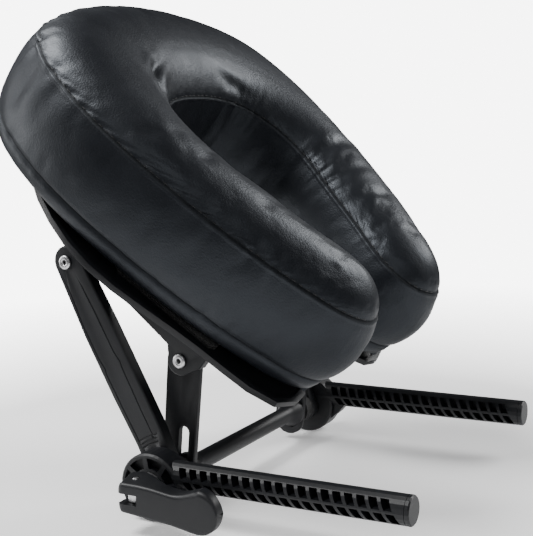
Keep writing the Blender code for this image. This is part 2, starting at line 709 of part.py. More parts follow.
def fastener_strips(hook_mat, loop_mat):
    """Hook strips stuck to the platform and the loop strips sewn under the cushion above them."""
    places = (
        ("crown", (-0.224, 0.0), (STRIP_WIDTH, 0.100), 0.0),
        ("near", (-0.093, -0.093), (0.080, STRIP_WIDTH), 14.0),
        ("far", (-0.093, 0.093), (0.080, STRIP_WIDTH), -14.0),
    )
    hook_low = -PLATE_DISH + GAP
    loop_low = hook_low + HOOK_THICKNESS + GAP
    for where, centre, size, turn in places:
        strip(f"hook_strip_{where}", centre, size, turn, hook_low, hook_low + HOOK_THICKNESS, hook_mat)
        strip(f"loop_strip_{where}", centre, size, turn, loop_low, loop_low + LOOP_THICKNESS, loop_mat)


def cushion(mat):
    """Crowned horseshoe cushion: a lofted top, an upright boxing and a rolled-in bottom.

    The top is a grid of chords from the inner to the outer edge. Its height above the seam is
    a quarter ellipse of the distance from the nearest edge.
    """
    rim, opening = horseshoe(CUSHION_OUTER, CUSHION_INNER, 37)
    chord = rim - opening
    length = np.hypot(*chord.T)
    middle = (rim + opening) / 2
    spread = np.sin(np.linspace(-90, 90, 11) * math.pi / 180)
    bm = bmesh.new()

    def row_height(fraction, index):
        edge = (1 - abs(fraction)) * length[index] / 2
        depth = min(edge / CROWN_MARGIN, 1.0)
        return UPPER_SEAM + CROWN_HEIGHT * math.sqrt(1 - (1 - depth) ** 2)

    def section(index):
        """The closed cross-section at one station, from the inner bottom edge over the top."""
        half = length[index] / 2
        bottom = max(half - BOTTOM_INSET, half * 0.55)
        bulge = half + BOXING_BULGE * min(half / CROWN_MARGIN, 1.0)
        sides = [(bottom, CUSHION_BOTTOM), (half, LOWER_SEAM), (bulge, (LOWER_SEAM + UPPER_SEAM) / 2)]
        points = [(-reach, w) for reach, w in sides]
        points += [(s * half, row_height(s, index)) for s in spread]
        points += [(reach, w) for reach, w in reversed(sides)]
        across = chord[index] / length[index]
        return [(*(middle[index] + across * reach), w) for reach, w in points]

    stations = [index for index in range(len(rim)) if length[index] > 0.004]
    rings = [[bm.verts.new(point) for point in section(index)] for index in stations]
    for first, second in zip(rings, rings[1:]):
        for here, there in zip(range(len(first)), [*range(1, len(first)), 0]):
            bm.faces.new((first[here], first[there], second[there], second[here]))
    bm.faces.new(rings[0][::-1])
    bm.faces.new(rings[-1])
    return placed(bm, "cushion", mat, tilted=True, smooth_angle=60.0)


def clear_scene():
    """Removes what the scene starts with."""
    for obj in list(bpy.data.objects):
        bpy.data.objects.remove(obj, do_unlink=True)


def build():
    """Makes every piece of the cradle."""
    plastic = material("moulded_black", (0.016, 0.018, 0.022), 0.42)
    steel = material("bright_steel", (0.62, 0.62, 0.63), 0.28, 1.0)
    leather = material("black_leather", (0.020, 0.022, 0.028), 0.36)
    hook = material("hook_tape", (0.012, 0.012, 0.013), 0.85)
    loop = material("loop_tape", (0.020, 0.020, 0.022), 0.95)
    rubber = material("friction_ring", (0.030, 0.030, 0.031), 0.7)
    for tag, side in (("near", -1), ("far", 1)):
        post(f"post_{tag}", side, plastic)
        post_cap(f"post_cap_{tag}", side, plastic)
        long_arm(f"long_arm_{tag}", side, plastic)
        slotted_arm(f"slotted_arm_{tag}", side, plastic)
        spacer(f"friction_ring_{tag}", side, rubber)
        bracket(f"bracket_{tag}", side, plastic)
        washer(f"hub_washer_{tag}", side, steel)
        rivet(f"arm_rivet_{tag}", side, ARM_PIVOT, CHEEK_INNER, LONG_ARM_OUTER, steel)
        rivet(f"link_rivet_{tag}", side, LINK_PIVOT, LINK_INNER, CHEEK_OUTER, steel)
    cross_bar(plastic)
    clamp_rod(steel)
    clamp_nut(steel)
    cam_lever(plastic)
    lever_pin(steel)
    platform(plastic)
    for number, (_, u, v) in enumerate(screw_places(), start=1):
        bracket_screw(f"bracket_screw_{number}", u, v, steel)
    fastener_strips(hook, loop)
    cushion(leather)


clear_scene()
build()
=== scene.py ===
"""Finished look of an adjustable massage face cradle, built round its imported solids.

Frame, in metres: +X along the posts, +Y across from the lever side to the other, +Z up.
The pad frame is tilted about Y: u runs down the platform towards its open end, v is Y and w is
the platform's outward normal, with w = 0 on the platform's rim.
"""

import json
import logging
import math
from dataclasses import dataclass
from enum import Enum

import bmesh
import bpy
import numpy as np
from mathutils import Matrix, Vector

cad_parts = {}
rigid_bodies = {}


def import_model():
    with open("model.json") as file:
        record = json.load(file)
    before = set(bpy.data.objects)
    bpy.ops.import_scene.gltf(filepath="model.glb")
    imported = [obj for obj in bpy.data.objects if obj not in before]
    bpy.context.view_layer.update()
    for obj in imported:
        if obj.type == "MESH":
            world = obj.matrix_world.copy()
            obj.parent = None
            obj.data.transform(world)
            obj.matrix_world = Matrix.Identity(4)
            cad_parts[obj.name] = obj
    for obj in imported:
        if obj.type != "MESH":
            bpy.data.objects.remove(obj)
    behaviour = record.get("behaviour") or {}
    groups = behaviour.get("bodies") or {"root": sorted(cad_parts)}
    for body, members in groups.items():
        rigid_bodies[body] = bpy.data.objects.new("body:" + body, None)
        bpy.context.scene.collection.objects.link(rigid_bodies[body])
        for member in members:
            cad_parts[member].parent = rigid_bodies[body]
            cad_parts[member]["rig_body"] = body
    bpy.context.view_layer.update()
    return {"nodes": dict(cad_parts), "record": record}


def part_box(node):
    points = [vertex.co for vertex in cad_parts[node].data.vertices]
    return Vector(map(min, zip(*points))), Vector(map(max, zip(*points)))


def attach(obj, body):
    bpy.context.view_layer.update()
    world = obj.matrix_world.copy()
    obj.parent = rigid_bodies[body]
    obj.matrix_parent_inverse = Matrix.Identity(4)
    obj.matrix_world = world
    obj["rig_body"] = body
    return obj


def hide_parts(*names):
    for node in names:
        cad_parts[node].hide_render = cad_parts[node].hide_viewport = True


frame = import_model()

log = logging.getLogger("face_cradle")
Array = np.ndarray
Point = tuple[float, float, float]
Grid = tuple[Array, Array]

PAD_TILT = math.radians(42.1)
EDGE_STEPS = 301
FINE_STEPS = 601
WELD = 2e-6
FLAT_ANGLE = math.radians(0.6)
EDGE_ANGLE = math.radians(38)
CREASE_ANGLE = math.radians(44)


class Slot(Enum):
    """The record's material slots."""

    LEATHER = "leather"
    PLASTIC = "plastic"
    STEEL = "steel"
    HOOK_TAPE = "hook_tape"
    LOOP_TAPE = "loop_tape"
    FRICTION_RING = "friction_ring"


# ---------------------------------------------------------------- shader expressions


class Signal:
    """A shader socket that takes part in Python expressions, each of which adds a Math node."""

    def __init__(self, recipe: "Recipe", socket: bpy.types.NodeSocket) -> None:
        """Wraps a socket of a recipe's node."""
        self.recipe = recipe
        self.socket = socket

    def maths(self, operation: str, *values: "Signal | float") -> "Signal":
        """A Math node of that operation on these values."""
        return self.recipe.add("Math", {"operation": operation}, dict(enumerate(values)))

    def __add__(self, other: "Signal | float") -> "Signal":
        """self + other."""
        return self.maths("ADD", self, other)

    def __mul__(self, other: "Signal | float") -> "Signal":
        """self * other."""
        return self.maths("MULTIPLY", self, other)

    def __sub__(self, other: "Signal | float") -> "Signal":
        """self - other."""
        return self.maths("SUBTRACT", self, other)

    def __rsub__(self, other: float) -> "Signal":
        """other - self."""
        return self.maths("SUBTRACT", other, self)

    __radd__ = __add__
    __rmul__ = __mul__

    def between(self, low: float, high: float) -> "Signal":
        """0 at low and 1 at high, straight in between and clamped outside."""
        ends = {"From Min": low, "From Max": high}
        return self.recipe.add("MapRange", {"clamp": True}, {"Value": self, **ends})


class Recipe:
    """One material: a Principled shader and the nodes that feed it."""

    def __init__(self, name: str, **constants: "float | tuple") -> None:
        """Starts a material.

        Args:
            name: the material's name.
            constants: values set straight on the shader's sockets, with _ for a space.
        """
        self.material = bpy.data.materials.new(name)
        self.material.use_nodes = True
        self.tree = self.material.node_tree
        self.shader = self.tree.nodes["Principled BSDF"]
        for key, value in constants.items():
            self.shader.inputs[key.replace("_", " ")].default_value = value

    def add(self, kind: str, settings: dict, inputs: dict, output: "int | str" = 0) -> Signal:
        """Adds any node.

        Args:
            kind: the node's type, without ShaderNode or ShaderNodeTex where it is a texture.
            settings: the node's own settings, such as an operation.
            inputs: values or signals by socket name or number.
            output: which output is taken.

        Returns:
            The output as a signal.
        """
        textures = {"Noise", "Voronoi", "Wave", "Coord"}
        prefix = "ShaderNodeTex" if kind in textures else "ShaderNode"
        node = self.tree.nodes.new(prefix + kind)
        for key, value in settings.items():
            setattr(node, key, value)
        for key, value in inputs.items():
            if isinstance(value, Signal):
                self.tree.links.new(value.socket, node.inputs[key])
            else:
                node.inputs[key].default_value = value
        return Signal(self, node.outputs[output])

    def place(self, scale: Point = (1.0, 1.0, 1.0), turn: Point = (0.0, 0.0, 0.0)) -> Signal:
        """Object coordinates, scaled and turned."""
        where = self.add("Coord", {}, {}, "Object")
        return self.add("Mapping", {}, {"Vector": where, "Scale": scale, "Rotation": turn})

    def attribute(self, name: str) -> Signal:
        """A number stored on the mesh."""
        return self.add("Attribute", {"attribute_name": name}, {}, "Fac")

    def noise(self, where: Signal, scale: float, detail: float = 2.0, rough: float = 0.5) -> Signal:
        """Fractal noise from 0 to 1 about one half."""
        values = {"Vector": where, "Scale": scale, "Detail": detail, "Roughness": rough}
        return self.add("Noise", {}, values, "Fac")

    def cells(self, where: Signal, scale: float) -> Signal:
        """Distance from the nearest point of a cell pattern."""
        return self.add("Voronoi", {"feature": "F1"}, {"Vector": where, "Scale": scale}, "Distance")

    def blend(self, factor: Signal, first: "Point | Signal", second: Point) -> Signal:
        """A colour between first and second."""
        ends = {6: first if isinstance(first, Signal) else (*first, 1.0), 7: (*second, 1.0)}
        return self.add("Mix", {"data_type": "RGBA"}, {0: factor, **ends}, 2)

    def relief(self, height: Signal, depth: float, under: "Signal | None" = None) -> Signal:
        """A bump of that depth in metres, over another one if given."""
        normal = {"Normal": under} if under else {}
        return self.add("Bump", {}, {"Height": height, "Distance": depth, "Strength": 1.0, **normal})

    def feed(self, **signals: Signal) -> bpy.types.Material:
        """Joins signals to the shader's sockets.

        Args:
            signals: a signal for each socket, with _ for a space in its name.

        Returns:
            The finished material.
        """
        for key, signal in signals.items():
            self.tree.links.new(signal.socket, self.shader.inputs[key.replace("_", " ")])
        return self.material


# ---------------------------------------------------------------- finishes


@dataclass(frozen=True)
class Leather:
    """Black upholstery leather with a fine pebble, soft flow marks and painted shade darkening the seams'
    grooves.
    """

    base: Point = (0.0030, 0.0036, 0.0056)
    worn: Point = (0.0060, 0.0068, 0.0095)
    # groove is the colour of painted shade laid into the seams' grooves, not a different leather.
    groove: Point = (0.0004, 0.0004, 0.0005)
    sheen: tuple = (0.82, 0.90, 1.0, 1.0)
    pebble: float = 850.0
    flow: float = 9.0

    def build(self) -> bpy.types.Material:
        """Builds the finish. The cover's seam attribute is 1 in a seam's groove and 0 away from it.

        Returns:
            The material.
        """
        mix = Recipe("black_leather", IOR=1.5, Specular_IOR_Level=0.46, Specular_Tint=self.sheen)
        where = mix.place()
        seam = mix.attribute("seam")
        broad = mix.noise(where, self.flow, 3.0)
        patches = mix.noise(where, self.flow * 4.1, 4.0, 0.62)
        pores = mix.cells(where, self.pebble)
        fine = mix.noise(where, self.pebble * 1.9, 2.0, 0.6)
        colour = mix.blend(broad.between(0.35, 0.7) * 0.8, self.base, self.worn)
        # Painted shade: the seam mask darkens the leather towards the groove colour inside each seam's
        # groove.
        colour = mix.blend(seam, colour, self.groove)
        rough = 0.40 + patches.between(0.3, 0.7) * 0.09 + pores * 0.05 + seam * 0.4
        drawn = mix.noise(mix.place((1.0, 2.6, 1.0), (0.3, 0.5, 0.9)), 46.0, 5.0, 0.58)
        soft = mix.relief(drawn, 0.00035)
        grained = mix.relief(pores * 0.75 + fine * 0.25, 0.00011, soft)
        return mix.feed(Base_Color=colour, Roughness=rough, Normal=grained)


@dataclass(frozen=True)
class MouldedPlastic:
    """Black glass-filled moulding with a spark-eroded grain and faint rub marks."""

    name: str = "moulded_plastic"
    base: Point = (0.0040, 0.0046, 0.0064)
    rubbed: Point = (0.0090, 0.0098, 0.0125)
    roughness: float = 0.43
    grain: float = 1500.0

    def build(self) -> bpy.types.Material:
        """Builds the finish.

        Returns:
            The material.
        """
        mix = Recipe(self.name, IOR=1.48, Specular_IOR_Level=0.42)
        where = mix.place()
        cloud = mix.noise(where, 55.0, 4.0, 0.6)
        rub = mix.noise(mix.place((1.0, 1.0, 3.0), (0.0, 0.6, 0.0)), 150.0, 3.0, 0.7).between(0.58, 0.8)
        speck = mix.noise(where, self.grain, 2.0, 0.6)
        colour = mix.blend(cloud.between(0.4, 0.75) * 0.5 + rub * 0.3, self.base, self.rubbed)
        rough = self.roughness + cloud * 0.10 - rub * 0.08
        return mix.feed(Base_Color=colour, Roughness=rough, Normal=mix.relief(speck, 0.00007))


@dataclass(frozen=True)
class PlatedSteel:
    """Bright zinc plating with turning marks and dull spots."""

    name: str = "plated_steel"
    bright: Point = (0.66, 0.66, 0.67)
    dull: Point = (0.40, 0.40, 0.42)

    def build(self) -> bpy.types.Material:
        """Builds the finish.

        Returns:
            The material.
        """
        mix = Recipe(self.name, Metallic=1.0)
        where = mix.place()
        spots = mix.noise(where, 420.0, 4.0, 0.65)
        marks = mix.noise(mix.place((1.0, 14.0, 1.0)), 700.0, 2.0)
        colour = mix.blend(spots.between(0.5, 0.8), self.bright, self.dull)
        rough = 0.22 + spots * 0.16 + marks * 0.08
        return mix.feed(Base_Color=colour, Roughness=rough, Normal=mix.relief(marks, 0.00002))


@dataclass(frozen=True)
class FastenerTape:
    """Woven tape whose face is a field of tiny hooks or loops."""

    name: str
    ground: Point
    tuft: Point
    pitch: float
    depth: float

    def build(self) -> bpy.types.Material:
        """Builds the finish.

        Returns:
            The material.
        """
        mix = Recipe(self.name, Specular_IOR_Level=0.25, Sheen_Weight=0.15)
        where = mix.place(turn=(0.0, PAD_TILT, 0.0))
        tufts = 1 - mix.cells(where, 1 / self.pitch).between(0.1, 0.6)
        lint = mix.noise(where, 900.0, 3.0, 0.7)
        colour = mix.blend(tufts * 0.7 + lint * 0.3, self.ground, self.tuft)
        height = tufts + lint * 0.4
        return mix.feed(Base_Color=colour, Roughness=0.8 + lint * 0.15, Normal=mix.relief(height, self.depth))


@dataclass(frozen=True)
class Thread:
    """Bonded black sewing thread, twisted, with a low shine."""

    colour: Point = (0.003, 0.003, 0.004)
    lit: Point = (0.008, 0.008, 0.010)

    def build(self) -> bpy.types.Material:
        """Builds the finish.

        Returns:
            The material.
        """
        mix = Recipe("sewing_thread", Sheen_Weight=0.1)
        twist = mix.add("Wave", {}, {"Vector": mix.place(turn=(0.5, 0.4, 0.7)), "Scale": 700.0}, "Fac")
        colour = mix.blend(twist, self.colour, self.lit)
        return mix.feed(Base_Color=colour, Roughness=0.5 + twist * 0.2, Normal=mix.relief(twist, 0.0001))


@dataclass(frozen=True)
class FrictionFacing:
    """Dark pressed fibre of the friction rings."""

    base: Point = (0.020, 0.020, 0.021)
    fleck: Point = (0.060, 0.056, 0.050)

    def build(self) -> bpy.types.Material:
        """Builds the finish.

        Returns:
            The material.
        """
        mix = Recipe("friction_facing")
        flecks = mix.cells(mix.place((1.0, 3.0, 1.0)), 900.0).between(0.0, 0.35)
        colour = mix.blend(1 - flecks, self.base, self.fleck)
        return mix.feed(Base_Color=colour, Roughness=0.72 + flecks * 0.15, Normal=mix.relief(flecks, 0.00008))


@dataclass(frozen=True)
class StudioFloor:
    """Seamless pale paper that fades into the surround."""

    glow: float = 0.35
    solid: float = 0.30
    gone: float = 0.85

    def build(self) -> bpy.types.Material:
        """Builds the finish.

        Returns:
            The material.
        """
        mix = Recipe("pale_paper", Specular_IOR_Level=0.1, Emission_Strength=self.glow)
        where = mix.place()
        tone = mix.noise(where, 3.0, 2.0)
        colour = mix.blend(tone, (0.88, 0.88, 0.885), (0.91, 0.91, 0.91))
        out = mix.add("VectorMath", {"operation": "LENGTH"}, {0: where}, "Value")
        fade = 1 - out.between(self.solid, self.gone)
        return mix.feed(Base_Color=colour, Roughness=0.75 + tone * 0.1, Alpha=fade, Emission_Color=colour)


class Wardrobe:
    """Every finished material, made once."""

    def __init__(self) -> None:
        """Builds the materials."""
        self.leather = Leather().build()
        self.plastic = MouldedPlastic().build()
        self.steel = PlatedSteel().build()
        self.thread = Thread().build()
        self.facing = FrictionFacing().build()
        self.hooks = FastenerTape("hook_tape_face", (0.010,) * 3, (0.030,) * 3, 0.0016, 0.0006).build()
        self.loops = FastenerTape("loop_tape_face", (0.012,) * 3, (0.040,) * 3, 0.0009, 0.0004).build()

    def of(self, slot: Slot) -> bpy.types.Material:
        """The material that dresses a slot.

        Args:
            slot: one of the record's slots.

        Returns:
            The material.
        """
        return {
            Slot.LEATHER: self.leather,
            Slot.PLASTIC: self.plastic,
            Slot.STEEL: self.steel,
            Slot.HOOK_TAPE: self.hooks,
            Slot.LOOP_TAPE: self.loops,
            Slot.FRICTION_RING: self.facing,
        }[slot]


# ---------------------------------------------------------------- surfaces


def grid_faces(rows: int, columns: int, wrap_rows: bool = False, wrap_columns: bool = False) -> Array:
    """Quads of a grid of points stored row after row.

    Args:
        rows: how many rows.
        columns: how many points in each row.
        wrap_rows: joins the last row to the first.
        wrap_columns: joins the last column to the first.

    Returns:
        One row of four point numbers for each quad.
    """
    r = np.arange(rows if wrap_rows else rows - 1)[:, None]
    c = np.arange(columns if wrap_columns else columns - 1)[None, :]
    after_r, after_c = (r + 1) % rows, (c + 1) % columns
    corners = (r * columns + c, r * columns + after_c, after_r * columns + after_c, after_r * columns + c)
    return np.stack(np.broadcast_arrays(*corners), -1).reshape(-1, 4)


def surface(name: str, points: Array, faces: Array, material: bpy.types.Material) -> bpy.types.Object:
    """A smooth-shaded piece whose doubles are merged and whose faces point outwards.

    Args:
        name: the piece's name.
        points: world positions.
        faces: rows of point numbers.
        material: its finish.

    Returns:
        The object, at the origin.
    """
    mesh = bpy.data.meshes.new(name)
    mesh.from_pydata(points.reshape(-1, 3).tolist(), [], faces.tolist())
    bm = bmesh.new()
    bm.from_mesh(mesh)
    bmesh.ops.remove_doubles(bm, verts=bm.verts, dist=1e-6)
    bmesh.ops.recalc_face_normals(bm, faces=bm.faces)
    bm.to_mesh(mesh)
    bm.free()
    mesh.materials.append(material)
    mesh.shade_smooth()
    obj = bpy.data.objects.new(name, mesh)
    bpy.context.scene.collection.objects.link(obj)
    return obj


def joined(name: str, grids: "list[Grid]", material: bpy.types.Material) -> bpy.types.Object:
    """One piece from several sets of points and faces.

    Args:
        name: the piece's name.
        grids: points and faces of each set.
        material: its finish.

    Returns:
        The object, at the origin.
    """
    starts = np.cumsum([0] + [len(points.reshape(-1, 3)) for points, _ in grids[:-1]])
    points = np.vstack([points.reshape(-1, 3) for points, _ in grids])
    faces = np.vstack([faces + start for start, (_, faces) in zip(starts, grids)])
    return surface(name, points, faces, material)


def periodic_spline(points: "list[tuple[float, float]]", where: Array) -> Array:
    """A closed cubic spline through points, spaced by chord length.

    Each span is the cubic whose second derivative runs straight from one end's to the other's,
    and those are solved for so that the slope is the same on both sides of every point.

    Args:
        points: the closed outline, with no repeated end.
        where: places along it, with whole numbers at the points.

    Returns:
        A position for each place.
    """
    pts = np.array(points, float)
    ahead = np.roll(pts, -1, axis=0) - pts
    gap = np.hypot(*ahead.T)
    size = len(pts)
    index = np.arange(size)
    matrix = np.zeros((size, size))
    matrix[index, index - 1] = np.roll(gap, 1)
    matrix[index, index] = 2 * (np.roll(gap, 1) + gap)
    matrix[index, (index + 1) % size] = gap
    slope = ahead / gap[:, None]
    bend = np.linalg.solve(matrix, 6 * (slope - np.roll(slope, 1, axis=0)))
    start = np.floor(where).astype(int) % size
    end = (start + 1) % size
    step = gap[start][:, None]
    before = (where - np.floor(where))[:, None] * step
    after = step - before
    curve = (bend[start] * after**3 + bend[end] * before**3) / (6 * step)
    curve += (pts[start] / step - bend[start] * step / 6) * after
    return curve + (pts[end] / step - bend[end] * step / 6) * before


def turned(profile: "list[tuple[float, float]]", centre: Point, count: int = 48) -> Grid:
    """A surface of revolution about a line along Y: each (along, radius) point goes round a circle.

    Args:
        profile: the (y, radius) points of a closed outline.
        centre: a point on the axis; its y is not used.
        count: how many steps round.

    Returns:
        Points and faces.
    """
    shape = np.array(profile, float)
    angle = np.linspace(0, 2 * math.pi, count, endpoint=False)[:, None]
    x = centre[0] + shape[:, 1] * np.cos(angle)
    z = centre[2] + shape[:, 1] * np.sin(angle)
    y = np.broadcast_to(shape[:, 0], x.shape)
    return np.stack([x, y, z], -1), grid_faces(count, len(shape), True, True)


def upright(rings: "list[tuple[float, float]]", x: float, y: float, count: int) -> Grid:
    """A surface of revolution about an upright line: each (z, radius) goes round a circle.

    Args:
        rings: the (z, radius) points of the outline. A zero radius closes an end.
        x: where the line stands.
        y: where the line stands.
        count: how many steps round.

    Returns:
        Points and faces.
    """
    shape = np.array(rings, float)
    angle = np.linspace(0, 2 * math.pi, count, endpoint=False)
    z = np.broadcast_to(shape[:, :1], (len(shape), count))
    points = np.stack([x + shape[:, 1:] * np.cos(angle), y + shape[:, 1:] * np.sin(angle), z], -1)
    return points, grid_faces(len(shape), count, False, True)


def channel(path: Array, inward: Array, width: float, depth: float) -> Grid:
    """A thin solid along a path on a face, to cut a channel with.

    Its section is half an ellipse into the face, with a flat back as far outside. Both ends
    taper to a point as the square root of a sine.

    Args:
        path: positions along the channel's middle, on the face.
        inward: the direction into the face.
        width: across the path.
        depth: below the face.

    Returns:
        Points and faces.
    """
    across = np.cross(np.gradient(path, axis=0), inward)
    across /= np.linalg.norm(across, axis=1, keepdims=True)
    angle = np.linspace(0, math.pi, 9)
    side = np.r_[np.cos(angle) * width / 2, -width / 2, width / 2]
    sink = np.r_[np.sin(angle) * depth, -depth, -depth]
    taper = np.sqrt(np.clip(np.sin(np.linspace(0, math.pi, len(path))) * 3, 0.0, 1.0))[:, None]
    side, sink = side * taper, sink * taper
    points = path[:, None] + across[:, None] * side[..., None] + inward * sink[..., None]
    return points, grid_faces(len(path), side.shape[1], False, True)


def along_points(corners: Array, spacing: float) -> Array:
    """Positions evenly spaced along straight runs.

    Args:
        corners: where the runs meet.
        spacing: distance between positions, at most.

    Returns:
        The positions, with both ends.
    """
    runs = np.r_[0.0, np.cumsum(np.linalg.norm(np.diff(corners, axis=0), axis=1))]
    where = np.linspace(0, runs[-1], max(int(runs[-1] / spacing), 2) + 1)
    return np.stack([np.interp(where, runs, corners[:, axis]) for axis in range(3)], -1)


def nearest_distance(places: Array, edge: Array) -> Array:
    """Distance in plan from each place to the nearest of an edge's points."""
    return np.min(np.hypot(places[:, None, 0] - edge[:, 0], places[:, None, 1] - edge[:, 1]), axis=1)


def vertex_array(mesh: bpy.types.Mesh) -> Array:
    """A mesh's vertex positions.

    Args:
        mesh: the mesh.

    Returns:
        One row for each vertex.
    """
    flat = np.empty(len(mesh.vertices) * 3, np.float32)
    mesh.vertices.foreach_get("co", flat)
    return flat.reshape(-1, 3).astype(float)


def with_modifiers(obj: bpy.types.Object) -> bpy.types.Object:
    """Applies a piece's modifiers to its mesh.

    Args:
        obj: the piece.

    Returns:
        The same piece, with no modifiers.
    """
    graph = bpy.context.evaluated_depsgraph_get()
    mesh = bpy.data.meshes.new_from_object(obj.evaluated_get(graph))
    obj.modifiers.clear()
    obj.data = mesh
    return obj


def cut_away(obj: bpy.types.Object, grids: "list[Grid]") -> bpy.types.Object:
    """Cuts closed shapes out of a piece and applies the cut.

    Args:
        obj: the piece.
        grids: points and faces of each shape.

    Returns:
        The piece.
    """
    cutter = joined(f"{obj.name}_cutter", grids, obj.data.materials[0])
    cut = obj.modifiers.new("Cut", "BOOLEAN")
    cut.object = cutter
    cut.solver = "EXACT"
    cut.use_self = True
    with_modifiers(obj)
    bpy.data.objects.remove(cutter)
    return obj


def shaded(obj: bpy.types.Object, angle: float = CREASE_ANGLE) -> bpy.types.Object:
    """Gives a piece smooth faces, with a hard edge where two meet at more than an angle.

    Args:
        obj: the piece.
        angle: the least angle of a hard edge.

    Returns:
        The piece.
    """
    obj.data.shade_smooth()
    obj.data.set_sharp_from_angle(angle=angle)
    return obj


def block(low: Point, high: Point) -> Grid:
    """A box between two corners.

    Args:
        low: the corner with the least x, y and z.
        high: the corner with the greatest.

    Returns:
        Points and faces.
    """
    corner = np.array([[x, y, z] for x in (0, 1) for y in (0, 1) for z in (0, 1)], float)
    faces = [(0, 1, 3, 2), (4, 6, 7, 5), (0, 4, 5, 1), (2, 3, 7, 6), (0, 2, 6, 4), (1, 5, 7, 3)]
    return np.array(low) + corner * (np.array(high) - np.array(low)), np.array(faces)


def softened(node: str, name: str, width: float, material: bpy.types.Material) -> bpy.types.Object:
    """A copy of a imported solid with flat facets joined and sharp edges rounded.

    Args:
        node: the solid that it stands for.
        name: the new piece's name.
        width: how far the rounding reaches from each edge.
        material: its finish.

    Returns:
        The piece, which replaces the solid and rides on its body.
    """
    source = frame["nodes"][node]
    bm = bmesh.new()
    bm.from_mesh(source.data)
    bmesh.ops.remove_doubles(bm, verts=bm.verts, dist=WELD)
    bmesh.ops.dissolve_limit(bm, angle_limit=FLAT_ANGLE, verts=bm.verts, edges=bm.edges)
    mesh = bpy.data.meshes.new(name)
    bm.to_mesh(mesh)
    bm.free()
    mesh.materials.append(material)
    obj = bpy.data.objects.new(name, mesh)
    bpy.context.scene.collection.objects.link(obj)
    edge = obj.modifiers.new("Rounding", "BEVEL")
    edge.width = width
    edge.segments = 3
    edge.limit_method = "ANGLE"
    edge.angle_limit = EDGE_ANGLE
    shaded(with_modifiers(obj))
    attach(obj, source["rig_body"])
    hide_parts(node)
    return obj


# ---------------------------------------------------------------- the pad


@dataclass(frozen=True)
class PadFrame:
    """The tilted frame of the platform and cushion.

    Attributes:
        x: where its origin is.
        z: where its origin is.
        tilt: its turn about Y.
    """

    x: float = 0.0484
    z: float = 0.0436
    tilt: float = PAD_TILT

    def world(self, local: Array) -> Array:
        """Turns the pad frame about Y by its tilt and moves it to its origin.

        Args:
            local: (u, v, w) positions.

        Returns:
            World positions.
        """
        cos, sin = math.cos(self.tilt), math.sin(self.tilt)
        u, v, w = np.moveaxis(np.asarray(local, float), -1, 0)
        return np.stack([self.x + u * cos + w * sin, v, self.z - u * sin + w * cos], -1)


PAD = PadFrame()


@dataclass(frozen=True)
class Crease:
    """A soft furrow pressed into the cover, in plan, at a height band.

    Attributes:
        u: middle, down the platform.
        v: middle, across.
        heading: direction in plan, in degrees from u.
        length: half of its length.
        width: half of its width.
        depth: into the foam.
        w: middle height.
        reach: half of its height band.
    """

    u: float
    v: float
    heading: float
    length: float
    width: float
    depth: float
    w: float = 0.085
    reach: float = 0.03


@dataclass(frozen=True)
class Settling:
    """How the cover's coarse copy is blown up as cloth.

    Attributes:
        voxel: cell size of the copy.
        upper_hold: how near the upper seam a point is sewn down.
        lower_hold: the same at the lower seam.
        base_hold: how far above the bottom panel points are held.
        frames: how many steps it runs.
        cloth: the cloth's settings.
        most: cap on how far a point is carried.
        neighbours: how many of the copy's points move each of the cover's.
    """

    voxel: float = 0.0048
    upper_hold: float = 0.0055
    lower_hold: float = 0.0050
    base_hold: float = 0.004
    frames: int = 20
    cloth: tuple = (
        ("vertex_group_mass", "sewn"),
        ("quality", 6),
        ("mass", 0.4),
        ("tension_stiffness", 12),
        ("compression_stiffness", 6),
        ("shear_stiffness", 5),
        ("bending_stiffness", 0.6),
        ("shrink_min", -0.006),
        ("use_pressure", True),
        ("uniform_pressure_force", 4.0),
    )
    most: float = 0.0026
    neighbours: int = 6


